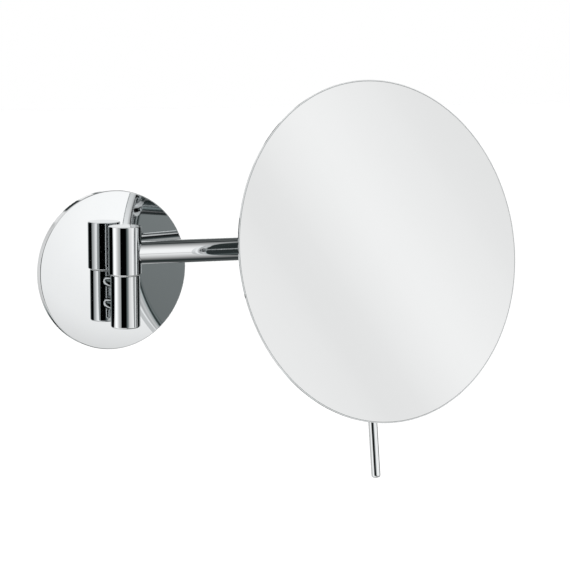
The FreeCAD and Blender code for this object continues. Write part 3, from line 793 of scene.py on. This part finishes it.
# %% Back shell
shell_outline = [(0, -shell_depth)]
shell_outline += arc(round_centre, back_round, -90, -45, 14)
shell_outline += [(shell_radius, -rim_land), (shell_radius, -break_edge / 2),
                  (shell_radius - break_edge / 2, 0), (pocket, 0), (pocket, -glass_edge),
                  (seat_outer, -glass_depth), (seat_inner, -glass_depth)]
shell_outline += arc(round_centre, inner_round, -inner_angle, -90, 8)
shell_outline += [(0, -(shell_depth - shell_wall))]
shell = turn("shell", shell_outline, 256)
shell_back = HUB.inverted() @ (MIRROR @ Vector((0, 0, -shell_depth)))
for x, y, _ in head_screws:
    shell_x = x - glass_middle.x
    drill(shell, shell_screw_way, (shell_x, y, -2 * shell_depth), (shell_x, y, -glass_depth), 32)
finish_piece(shell, MIRROR, "head", "polished_chrome", "back_shell")
print("hub seats on the shell at", round(shell_back.z / MM, 2), "mm")

# %% [markdown]
# ## Mirror glass
# The glass is a flat disc with a ground edge: a small arris in front, a short land, and a bevel behind
# that drops into the shell. The silver is on its back, so a real render would trace through clear
# glass. A disc whose front is itself the mirror reflects just the same from any distance, and exports
# cleanly, so the front face gets the silver, and the ground edge gets its own green-grey glass.

# %% Mirror glass
arris = 0.15 * MM
glass_outline = [(0, 0), (glass_radius - arris, 0), (glass_radius, -arris), (glass_radius, -glass_edge),
                 (glass_radius - (glass_depth - glass_edge), -glass_depth), (0, -glass_depth)]
glass = turn("glass", glass_outline, 256)
finish_piece(glass, MIRROR, "head", "silvered_glass", "mirror_glass")

# %% [markdown]
# ## Shared surface effects
# Three effects are used by several finishes: polish haze, turning marks and grain. They could be built
# anew in each material, but then every change would have to be made many times. So each is built
# once, as a node group with named inputs, and every material sets its own values. Haze and grain take
# the same inputs, which lets one function make all the materials later.


# %% Node group helpers
FLOAT, VECTOR, COLOUR = "NodeSocketFloat", "NodeSocketVector", "NodeSocketColor"
MIX_SHARE, MIX_FIRST, MIX_SECOND, MIX_RESULT = 0, 6, 7, 2


def colour(red, green, blue):
    return (red, green, blue, 1.0)


def add_node(tree, kind, **settings):
    """A new node in a tree, with its settings."""
    node = tree.nodes.new(kind)
    for setting, value in settings.items():
        setattr(node, setting, value)
    return node


def wire(tree, *links):
    """Links sockets. Each link is (node, its output, next node, its input)."""
    for source, output, target, entry in links:
        tree.links.new(source.outputs[output], target.inputs[entry])


def new_group(name, inputs, outputs):
    """A node group that takes a vector and named values. Returns it with its two end nodes."""
    group = bpy.data.node_groups.new(name, "ShaderNodeTree")
    group.interface.new_socket("Vector", in_out="INPUT", socket_type=VECTOR)
    for socket_name, kind, value in inputs:
        socket = group.interface.new_socket(socket_name, in_out="INPUT", socket_type=kind)
        socket.default_value = value
    for socket_name, kind in outputs:
        group.interface.new_socket(socket_name, in_out="OUTPUT", socket_type=kind)
    return group, add_node(group, "NodeGroupInput"), add_node(group, "NodeGroupOutput")


FINISH_INPUTS = [
    ("Scale", FLOAT, 100.0), ("Low Roughness", FLOAT, 0.1), ("High Roughness", FLOAT, 0.2),
    ("First Colour", COLOUR, colour(0.8, 0.8, 0.8)), ("Second Colour", COLOUR, colour(0.7, 0.7, 0.7)),
]

# %% [markdown]
# ## Polish haze
# Haze is the faint unevenness that no buffing wheel takes away. One even roughness would do from
# afar, but close up it looks too perfect. So a soft noise moves the roughness a little and lets the
# colour drift by a hair.

# %% Polish haze
haze, haze_in, haze_out = new_group("polish_haze", FINISH_INPUTS, [("Colour", COLOUR), ("Roughness", FLOAT)])
clouds = add_node(haze, "ShaderNodeTexNoise")
clouds.inputs["Detail"].default_value = 4.0
clouds.inputs["Roughness"].default_value = 0.6
spread = add_node(haze, "ShaderNodeMapRange")
spread.inputs["From Min"].default_value = 0.3
spread.inputs["From Max"].default_value = 0.7
drift = add_node(haze, "ShaderNodeMix", data_type="RGBA")
wire(haze,
     (haze_in, "Vector", clouds, "Vector"), (haze_in, "Scale", clouds, "Scale"),
     (clouds, "Fac", spread, "Value"), (haze_in, "Low Roughness", spread, "To Min"),
     (haze_in, "High Roughness", spread, "To Max"), (clouds, "Fac", drift, MIX_SHARE),
     (haze_in, "First Colour", drift, MIX_FIRST), (haze_in, "Second Colour", drift, MIX_SECOND),
     (drift, MIX_RESULT, haze_out, "Colour"), (spread, "Result", haze_out, "Roughness"))
print("polish haze:", len(haze.nodes), "nodes")

# %% [markdown]
# ## Turning marks
# A lathe tool leaves very fine rings round the piece's axis, and a spiral on its end faces. A wave
# texture has evenly spaced rings, which no tool leaves. Here the distance from the axis and the
# height are added, and a one-dimensional noise is read at that travel: along the wall it changes with
# the height, across a face with the radius, and it is never quite regular.

# %% Turning marks
marks, marks_in, marks_out = new_group("turning_marks", [("Pitch", FLOAT, 0.4 * MM)], [("Height", FLOAT)])
sideways = add_node(marks, "ShaderNodeVectorMath", operation="MULTIPLY")
sideways.inputs[1].default_value = (1, 1, 0)
distance = add_node(marks, "ShaderNodeVectorMath", operation="LENGTH")
apart = add_node(marks, "ShaderNodeSeparateXYZ")
travel = add_node(marks, "ShaderNodeMath", operation="ADD")
per_pitch = add_node(marks, "ShaderNodeMath", operation="DIVIDE")
ridges = add_node(marks, "ShaderNodeTexNoise", noise_dimensions="1D")
ridges.inputs["Scale"].default_value = 1.0
ridges.inputs["Detail"].default_value = 2.0
wire(marks,
     (marks_in, "Vector", sideways, 0), (sideways, "Vector", distance, 0),
     (marks_in, "Vector", apart, "Vector"), (distance, "Value", travel, 0), (apart, "Z", travel, 1),
     (travel, 0, per_pitch, 0), (marks_in, "Pitch", per_pitch, 1), (per_pitch, 0, ridges, "W"),
     (ridges, "Fac", marks_out, "Height"))
print("turning marks:", len(marks.nodes), "nodes")

# %% [markdown]
# ## Grain
# Moulded plastic, foam, ground glass and zinc crystals are all small cells side by side. Noise is too
# cloudy for that. A smooth Voronoi texture gives rounded cells, and the distance to a cell's middle
# drives its colour, its roughness and its height together, as they belong together on the real thing.

# %% Grain
grain, grain_in, grain_out = new_group("grain", FINISH_INPUTS,
                                       [("Colour", COLOUR), ("Roughness", FLOAT), ("Height", FLOAT)])
cells = add_node(grain, "ShaderNodeTexVoronoi", feature="SMOOTH_F1")
tone = add_node(grain, "ShaderNodeMix", data_type="RGBA")
dull = add_node(grain, "ShaderNodeMapRange")
wire(grain,
     (grain_in, "Vector", cells, "Vector"), (grain_in, "Scale", cells, "Scale"),
     (cells, "Distance", tone, MIX_SHARE), (grain_in, "First Colour", tone, MIX_FIRST),
     (grain_in, "Second Colour", tone, MIX_SECOND), (cells, "Distance", dull, "Value"),
     (grain_in, "Low Roughness", dull, "To Min"), (grain_in, "High Roughness", dull, "To Max"),
     (tone, MIX_RESULT, grain_out, "Colour"), (dull, "Result", grain_out, "Roughness"),
     (cells, "Distance", grain_out, "Height"))
print("groups:", [group.name for group in bpy.data.node_groups])

# %% [markdown]
# ## Placing a material on a piece
# All meshes hold their place in their vertices, so Object coordinates are the same as the model's. A
# Mapping node of the texture kind undoes a local frame, and so gives each group coordinates whose Z is
# its own axis. That is what the turning marks need. All finishes have the same plan: one group gives
# colour and roughness, and the rings or the group's own grain give a small relief.


# %% One plan for all finishes
def use_group(tree, group, vector, values):
    """Puts a shared group in a material with this material's own values."""
    node = add_node(tree, "ShaderNodeGroup", node_tree=group)
    for socket_name, value in values.items():
        node.inputs[socket_name].default_value = value
    tree.links.new(vector, node.inputs["Vector"])
    return node


def surface(name, place, group, scale, roughness, colours, metallic=0.0, ring_pitch=0.0, relief=None):
    """A material in a local frame. Relief is (strength, distance), of rings where they have a pitch."""
    material = bpy.data.materials.new(name)
    material.use_nodes = True
    tree = material.node_tree
    shader = tree.nodes["Principled BSDF"]
    shader.inputs["Metallic"].default_value = metallic
    where = add_node(tree, "ShaderNodeTexCoord")
    local = add_node(tree, "ShaderNodeMapping", vector_type="TEXTURE")
    local.inputs["Location"].default_value = place.translation
    local.inputs["Rotation"].default_value = place.to_euler()
    wire(tree, (where, "Object", local, "Vector"))
    vector = local.outputs["Vector"]
    base = use_group(tree, group, vector, {
        "Scale": scale, "Low Roughness": roughness[0], "High Roughness": roughness[1],
        "First Colour": colour(*colours[0]), "Second Colour": colour(*colours[1])})
    wire(tree, (base, "Colour", shader, "Base Color"), (base, "Roughness", shader, "Roughness"))
    if relief:
        raised = use_group(tree, marks, vector, {"Pitch": ring_pitch}) if ring_pitch else base
        bump = add_node(tree, "ShaderNodeBump")
        bump.inputs["Strength"].default_value = relief[0]
        bump.inputs["Distance"].default_value = relief[1]
        wire(tree, (raised, "Height", bump, "Height"), (bump, "Normal", shader, "Normal"))
    return material


# %% [markdown]
# ## Polished chrome
# Chrome plate is nearly a mirror, a little darker and cooler than silver. Its reflections are sharp,
# so the haze keeps to very low roughness, and the lathe's rings are only a whisper. There is one
# chrome for each local frame, because the rings run round the piece's own axis.


# %% Chrome
CHROME_CLEAN, CHROME_HAZY = (0.80, 0.812, 0.82), (0.78, 0.795, 0.80)


def chrome(name, place):
    """Chrome plate whose rings run round the Z axis of a local frame."""
    return surface(name, place, haze, 90.0, (0.012, 0.03), (CHROME_CLEAN, CHROME_HAZY), 1.0,
                   0.35 * MM, (0.02, 0.005 * MM))


chromes = {name: chrome(f"chrome_{name}", place) for name, place in (
    ("plate", WALL), ("post", POST), ("arm", ARM), ("knuckle", KNUCKLE), ("pin", PIN), ("shell", MIRROR),
    ("hub", HUB))}
print("chromes:", sorted(chromes))

# %% [markdown]
# ## Silvered glass
# Front silvering reflects about nine tenths of the light. The haze group keeps it from being perfect,
# at a level that is only felt. The ground edge is matt and green, as float glass is edge-on, and the
# rear paint is a plain grey lacquer.

# %% Silver, ground edge and rear paint
silver = surface("silvered_face", MIRROR, haze, 25.0, (0.0, 0.008),
                 ((0.885, 0.892, 0.893), (0.875, 0.883, 0.884)), 1.0)
ground = surface("ground_glass_edge", MIRROR, grain, 6000.0, (0.25, 0.5),
                 ((0.02, 0.05, 0.045), (0.07, 0.13, 0.12)), relief=(0.2, 0.01 * MM))
ground.node_tree.nodes["Principled BSDF"].inputs["IOR"].default_value = 1.52
lacquer = surface("rear_lacquer", MIRROR, grain, 900.0, (0.4, 0.55),
                  ((0.16, 0.17, 0.17), (0.22, 0.23, 0.23)), relief=(0.15, 0.01 * MM))
print("materials so far:", len(bpy.data.materials))

# %% [markdown]
# ## Hidden metals, plastics and foam
# Zinc plate has a dull sparkle of small crystals; brass is turned and warm. The washers and the brake
# pad are dark nylon, the two bushes natural white acetal, and both have a moulded grain. The mounting
# pad is pale closed-cell foam. They hardly show, but a part that is taken off its neighbours should
# still look like what it is.

# %% Zinc plate, brass, plastics and foam
ZINC_COLOURS = ((0.46, 0.47, 0.48), (0.64, 0.65, 0.67))
zinc_wall, zinc_arm, zinc_head = [
    surface(name, place, grain, 1400.0, (0.22, 0.42), ZINC_COLOURS, 1.0, 0.25 * MM, (0.25, 0.02 * MM))
    for name, place in (("zinc_wall", WALL), ("zinc_arm", ARM), ("zinc_head", HUB))]
brass = surface("brass_plug", ARM, haze, 400.0, (0.18, 0.34), ((0.80, 0.60, 0.29), (0.66, 0.47, 0.21)),
                1.0, 0.15 * MM, (0.5, 0.02 * MM))

moulded = (0.4, 0.05 * MM)
nylon = surface("nylon", ARM, grain, 3000.0, (0.35, 0.55),
                ((0.012, 0.012, 0.013), (0.03, 0.03, 0.032)), relief=moulded)
acetal = surface("white_acetal", POST, grain, 2600.0, (0.3, 0.45),
                 ((0.55, 0.56, 0.55), (0.72, 0.73, 0.72)), relief=moulded)
foam = surface("foam", MIRROR, grain, 1800.0, (0.8, 0.95),
               ((0.62, 0.62, 0.60), (0.82, 0.82, 0.80)), relief=moulded)
print("materials:", len(bpy.data.materials))

# %% [markdown]
# ## Giving out the materials
# Every made piece and every engineering node that still shows gets its finish here. It could be done
# as each piece is made, but one list shows at a glance what is made of what. The glass has three
# finishes on one mesh, chosen face by face by which way the face looks.

# %% Give every piece its material
looks = [
    (chromes["plate"], ["plate_cap", "standoff_upper", "standoff_lower"]),
    (chromes["post"], ["post", "sleeve"]),
    (chromes["arm"], ["tube", "end_plug"]),
    (chromes["knuckle"], ["knuckle", "knuckle_plug"]),
    (chromes["pin"], ["pin", "ferrule", "handle", "fork"]),
    (chromes["hub"], ["hub"]),
    (chromes["shell"], ["shell"]),
    (silver, ["glass"]),
    (zinc_wall, ["bracket_dish", "plate_grub", "backing_plate", "post_screws"]),
    (zinc_arm, ["brake_grub", "arm_screw", "tilt_spring_washer", "tilt_nut"]),
    (zinc_head, ["fork_screws", "hub_screws"]),
    (brass, ["arm_root_plug"]),
    (acetal, ["lower_bush", "upper_bush"]),
    (nylon, ["brake_pad", "tilt_friction_washer", "swivel_washers"]),
    (foam, ["mirror_pad"]),
]
kept = [node for node in frame["nodes"] if not frame["nodes"][node].hide_render]
bare = {node: frame["nodes"][node].data for node in kept}
bare.update({piece.name: piece.data for piece in made})
for material, names in looks:
    for name in names:
        mesh = bare.pop(name)
        mesh.materials.clear()
        mesh.materials.append(material)
print("pieces made:", len(made), "nodes kept:", len(kept), "without a finish:", sorted(bare))

# %% Glass faces
for material in (ground, lacquer):
    glass.data.materials.append(material)
FLAT = 0.99
for face in glass.data.polygons:
    lean = face.normal.dot(facing)
    if abs(lean) < FLAT:
        face.material_index = 1
    elif lean < 0:
        face.material_index = 2
print("glass finishes:", [material.name for material in glass.data.materials])

# %% [markdown]
# ## The studio
# Chrome shows the room, so the room is the real material. In a product studio large soft white panels
# stand round the set and black flags hang between them, which gives the sharp dark stripes. Panels
# and flags could be modelled as planes. Here they are painted on the sky as directions, which keeps
# the set empty: first the levels round the horizon, then how each side falls off upwards and
# downwards, and last a few soft cards. Matt surfaces and the floor see an even white sky instead,
# as from a big diffusing tent.
#
# Each level is the value from 0 to 255 that polished chrome shows for that direction. Azimuths run
# anticlockwise from +X, so -90 is straight in front of the wall and 90 is behind it. The lists below
# the horizons say what share of the horizon's light is left at each height.

# %% Studio levels
CHROME_SHARE = 0.80
SILVER_SHARE = 0.885
FRONT_HORIZON = [
    (-180, 234), (-176, 222), (-169, 198), (-162, 178), (-154, 166), (-149.5, 158), (-148, 2),
    (-109.5, 3), (-106.5, 62), (-103, 94), (-98, 116), (-92, 144), (-87, 196), (-84, 212), (-76, 222),
    (-64, 238), (-55, 247), (-14, 250), (-10, 60), (-7, 3), (0, 3),
]
BACK_HORIZON = [
    (0, 3), (5, 4), (8, 38), (20, 38), (27, 95), (34, 200), (46, 178), (60, 156), (67, 150), (72, 136),
    (78, 70), (84, 50), (88, 52), (93, 90), (98, 150), (104, 190), (117, 214), (138, 188), (145, 188),
    (151, 206), (157, 230), (161, 255), (173, 255), (180, 234),
]
FRONT = [
    (-90, 0.0), (-72, 0.0), (-66, 0.12), (-60, 0.23), (-50, 0.39), (-40, 0.54), (-30, 0.68), (-18, 0.84),
    (-6, 0.95), (16, 1.0), (28, 0.95), (36, 0.87), (44, 0.77), (56, 0.55), (66, 0.38), (74, 0.13),
    (90, 0.05),
]
BEHIND = [
    (-90, 0.0), (-72, 0.02), (-60, 0.09), (-46, 0.12), (-40, 0.18), (-33, 0.42), (-24, 0.75), (-12, 1.0),
    (2, 0.86), (16, 0.62), (32, 0.33), (42, 0.17), (54, 0.08), (72, 0.01), (90, 0.0),
]
BESIDE_HEAD = [
    (-90, 2.0), (-60, 2.2), (-50, 2.6), (-42, 3.6), (-36, 3.2), (-30, 1.6), (-24, 1.3), (-8, 1.0),
    (8, 0.55), (20, 0.38), (28, 0.25), (40, 0.3), (90, 0.5),
]
LEFT = [(-90, 0.6), (-76, 1.0), (60, 1.0), (90, 0.4)]
LEFT_OPEN = 212
POLE_LEVEL = 50
print("horizon levels:", len(FRONT_HORIZON) + len(BACK_HORIZON))

# %% Light from a level
COOL_SHARE = 0.22
COOL_BELOW = 0.45


def to_linear(level):
    """The linear light of a level from 0 to 255."""
    share = level / 255
    return share / 12.92 if share <= 0.04045 else ((share + 0.055) / 1.055) ** 2.4


def radiance(level, share=CHROME_SHARE):
    """The light that a polished surface turns into this level, a little cool where it is dark."""
    value = to_linear(level)
    warm = 1.0 - COOL_SHARE * max(0.0, 1.0 - value / COOL_BELOW)
    return (value * warm / share, value / share, value / share, 1.0)


def plain(value):
    """A grey light."""
    return (value, value, value, 1.0)


print("brightest and darkest panel:", [round(radiance(level)[1], 3) for level in (255, 2)])

# %% [markdown]
# ## Sky tools
# A world has a node tree like a material's. An image of a studio could be projected there, but a
# direction turned into two angles is enough, and it stays editable. The helpers below each add one
# small step and hand on its output, so the sky can be written as plain sums.


# %% Sky tools
world = bpy.data.worlds.new("studio")
bpy.context.scene.world = world
world.use_nodes = True
sky = world.node_tree
sky.nodes.clear()
direction = add_node(sky, "ShaderNodeTexCoord").outputs["Generated"]
IN_DEGREES = 180 / math.pi


def feed(value, socket):
    """Links a socket to an input, or writes a plain value into it."""
    if isinstance(value, bpy.types.NodeSocket):
        sky.links.new(value, socket)
    else:
        socket.default_value = value


def maths(operation, first, second=0.0):
    """One step of a sum, between sockets or plain values."""
    step = add_node(sky, "ShaderNodeMath", operation=operation)
    feed(first, step.inputs[0])
    feed(second, step.inputs[1])
    return step.outputs[0]


def blend_light(share, first, second):
    """Mixes two lights. The share isn't clamped, so it can also make a light brighter."""
    step = add_node(sky, "ShaderNodeMix", data_type="RGBA", clamp_factor=False)
    for value, entry in ((share, MIX_SHARE), (first, MIX_FIRST), (second, MIX_SECOND)):
        feed(value, step.inputs[entry])
    return step.outputs[MIX_RESULT]


# %% Steps and ramps
def soft_step(value, start, end):
    """Goes softly from 0 at the start to 1 at the end, whichever of them is the higher."""
    step = add_node(sky, "ShaderNodeMapRange", interpolation_type="SMOOTHSTEP")
    rising = start < end
    feed(value, step.inputs["Value"])
    step.inputs["From Min"].default_value = min(start, end)
    step.inputs["From Max"].default_value = max(start, end)
    step.inputs["To Min"].default_value = 0.0 if rising else 1.0
    step.inputs["To Max"].default_value = 1.0 if rising else 0.0
    return step.outputs["Result"]


def graded(value, stops):
    """A colour ramp read at a value. Stops are (value, colour), and the ramp spans them all."""
    first, last = stops[0][0], stops[-1][0]
    spread_out = maths("DIVIDE", maths("SUBTRACT", value, first), last - first)
    step = add_node(sky, "ShaderNodeValToRGB")
    elements = step.color_ramp.elements
    elements.remove(elements[-1])
    elements[0].position = 0.0
    elements[0].color = stops[0][1]
    for at, light in stops[1:]:
        elements.new((at - first) / (last - first)).color = light
    feed(spread_out, step.inputs[0])
    return step.outputs[0]


def levels(value, stops, share=CHROME_SHARE):
    """A ramp whose stops are the levels that a polished surface shows."""
    return graded(value, [(at, radiance(level, share)) for at, level in stops])


# %% Directions
def toward(azimuth_degrees, height_degrees):
    """The unit vector of a direction."""
    a, h = math.radians(azimuth_degrees), math.radians(height_degrees)
    return Vector((math.cos(h) * math.cos(a), math.cos(h) * math.sin(a), math.sin(h)))


def along(vector):
    """How far the direction that is looked in goes along a vector."""
    product = add_node(sky, "ShaderNodeVectorMath", operation="DOT_PRODUCT")
    feed(direction, product.inputs[0])
    product.inputs[1].default_value = vector
    return product.outputs["Value"]


def angle_from(centre):
    """Degrees between the direction that is looked in and a centre."""
    return maths("MULTIPLY", maths("ARCCOSINE", maths("MINIMUM", along(centre), 1.0)), IN_DEGREES)


# %% [markdown]
# ## Horizon and falloff
# The direction's azimuth reads the horizon's levels, and its height reads how much of them is left.
# The black flag at the left leans a little near the horizon, as a hanging cloth does, and ends above
# and below, where the open room shows. Four falloffs take turns round the set: in front, behind,
# beside the mirror head, and at the left.

# %% Horizon and falloff
FLAG_LEAN = 16

parts = add_node(sky, "ShaderNodeSeparateXYZ")
feed(direction, parts.inputs[0])
azimuth = maths("MULTIPLY", maths("ARCTAN2", parts.outputs["Y"], parts.outputs["X"]), IN_DEGREES)
height = maths("MULTIPLY", maths("ARCSINE", parts.outputs["Z"]), IN_DEGREES)

flag_side = soft_step(azimuth, -88, -108)
lean_band = maths("MULTIPLY", soft_step(height, -5, 3), soft_step(height, 16, 9))
leaning = maths("MULTIPLY", maths("MULTIPLY", lean_band, flag_side), FLAG_LEAN)
leant = maths("ADD", azimuth, leaning)
steep = soft_step(maths("ABSOLUTE", height), 26, 38)
past_flag = maths("MULTIPLY", steep, flag_side)
front_round = blend_light(past_flag, levels(leant, FRONT_HORIZON), radiance(LEFT_OPEN))
around = blend_light(maths("GREATER_THAN", leant, 0.0), front_round, levels(leant, BACK_HORIZON))


def falling(stops):
    """The share of the horizon's light that is left at each height."""
    return graded(height, [(at, plain(share)) for at, share in stops])


left_side = maths("MAXIMUM", soft_step(azimuth, 92, 104), flag_side)
share_left = blend_light(soft_step(azimuth, 25, 45), falling(FRONT), falling(BEHIND))
share_left = blend_light(soft_step(azimuth, 70, 80), share_left, falling(BESIDE_HEAD))
share_left = blend_light(left_side, share_left, falling(LEFT))
studio = blend_light(share_left, radiance(POLE_LEVEL), around)
print("sky so far:", len(sky.nodes), "nodes")

# %% [markdown]
# ## Cards
# Small cards are then added for single edges. The front panel begins brighter, except in
# one narrow band of heights. Four soft round cards light single places, such as the post's flat top
# and the plate's edge. They could be lamps, but a lamp's hard highlight gives chrome away as computed.


# %% Cards
def card(below, centre, inner, outer, light):
    """Lays a soft round card of light over the studio so far. Its two radii are in degrees."""
    return blend_light(soft_step(angle_from(centre), outer, inner), below, light)


def seen_in(place_point, normal):
    """The direction that the camera sees at a point of a flat mirror."""
    view = (place_point - CAMERA_AT).normalized()
    return view - 2 * view.dot(normal) * normal


FRONT_EDGE = to_linear(245) / CHROME_SHARE
front_panel = graded(height, [(at, plain(share * FRONT_EDGE)) for at, share in FRONT])
above_below = maths("MAXIMUM", soft_step(height, -10, -13.5), soft_step(height, -7, -3.5))
front_start = maths("MULTIPLY", soft_step(azimuth, -100, -88), soft_step(azimuth, -50, -70))
studio = blend_light(maths("MULTIPLY", above_below, front_start), studio, front_panel)

ROUND_CARDS = [
    # azimuth, height, inner radius, outer radius, level
    (64, 7, 4, 11, 238),
    (30, -18, 3, 7, 252),
    (75.5, 19.5, 3.5, 6.5, 228),
    (97.5, 24, 3.5, 6.5, 218),
]
for at, up, inner, outer, level in ROUND_CARDS:
    studio = card(studio, toward(at, up), inner, outer, radiance(level))
print("round cards:", len(ROUND_CARDS))

# %% [markdown]
# ## What the flat mirrors show
# The wall plate shows a round vignette, and the mirror a diagonal sheen. Both are flat, so each shows
# only a small piece of the sky. Where that piece stands is found by reflecting the camera's view, which
# needs no trial and error.

# %% Vignette and sheen
OUT_OF_WALL = Vector((0, -1, 0))
VIGNETTE = [
    (0, 249), (1.4, 247), (2.4, 241), (3, 237), (3.8, 233), (4.2, 227), (4.6, 219), (4.9, 211), (8, 205),
]
VIGNETTE_AT = Vector((8 * MM, -plate_front, 30 * MM))
plate_centre = seen_in(VIGNETTE_AT, OUT_OF_WALL)
studio = card(studio, plate_centre, 5.2, 7.5, levels(angle_from(plate_centre), VIGNETTE))

SHEEN = [
    (-23, 233), (-3, 230), (8, 227), (18, 227), (29, 229), (39, 233), (49, 236), (60, 239), (70, 240),
    (81, 239), (91, 237), (101, 235), (112, 233), (122, 230), (133, 228), (143, 227),
]
SHEEN_TILT = math.radians(33.7)
SHEEN_UNITS = 1000
sheen_in_view = right * math.cos(SHEEN_TILT) + upward * math.sin(SHEEN_TILT)
sheen_axis = sheen_in_view - 2 * sheen_in_view.dot(facing) * facing
sheen = levels(maths("MULTIPLY", along(sheen_axis), SHEEN_UNITS), SHEEN, SILVER_SHARE)
mirror_centre = seen_in(mirror_at, facing)
studio = card(studio, mirror_centre, 8, 12, sheen)
print("the plate shows", [round(c, 3) for c in plate_centre])
print("the mirror shows", [round(c, 3) for c in mirror_centre])

# %% [markdown]
# ## Who sees which sky
# A Light Path node tells what kind of ray asks for the sky. Three skies could be three worlds, but a
# scene has only one. So polished metal gets the studio, the camera gets pure white, and everything
# else gets an even tent of light.

# %% World output
TENT = 1.2
path = add_node(sky, "ShaderNodeLightPath")
even = blend_light(path.outputs["Is Glossy Ray"], plain(TENT), studio)
shown_sky = blend_light(path.outputs["Is Camera Ray"], even, plain(1.0))
background = add_node(sky, "ShaderNodeBackground")
output = add_node(sky, "ShaderNodeOutputWorld")
feed(shown_sky, background.inputs["Color"])
feed(background.outputs[0], output.inputs["Surface"])
print("sky:", len(sky.nodes), "nodes")

# %% [markdown]
# ## Floor and view
# The floor is a wide pale plane far below the mirror, which hangs on a wall. The chrome shouldn't show
# it, because its light is already in the studio's falloff. The view transform is the plain one, so
# white stays white. Metal that shows metal that shows metal needs more bounces than the usual four.

# %% Floor and view
FLOOR_SIZE = 60
FLOOR_AT = -1.2
bpy.ops.object.select_all(action="DESELECT")
bpy.ops.mesh.primitive_plane_add(size=FLOOR_SIZE, location=(0, 0, FLOOR_AT))
floor = bpy.context.object
floor.name = "floor"
floor.visible_glossy = False
floor.data.materials.append(
    surface("floor_paint", WALL, haze, 3.0, (0.6, 0.7), ((0.95, 0.95, 0.95), (0.94, 0.94, 0.94))))
bpy.context.scene.view_settings.view_transform = "Standard"
bpy.context.scene.cycles.glossy_bounces = 8
print("floor", -FLOOR_AT, "m below the origin")

# %% [markdown]
# ## Checks
# The meshes should be closed, each with a positive volume. Any piece that isn't is printed.

# %% Closed meshes
for piece in made:
    bm = bmesh.new()
    bm.from_mesh(piece.data)
    open_edges = sum(1 for e in bm.edges if not e.is_manifold)
    volume = bm.calc_volume(signed=True)
    if open_edges or volume <= 0:
        print("look at", piece.name, "open edges", open_edges, "volume", volume)
    bm.free()
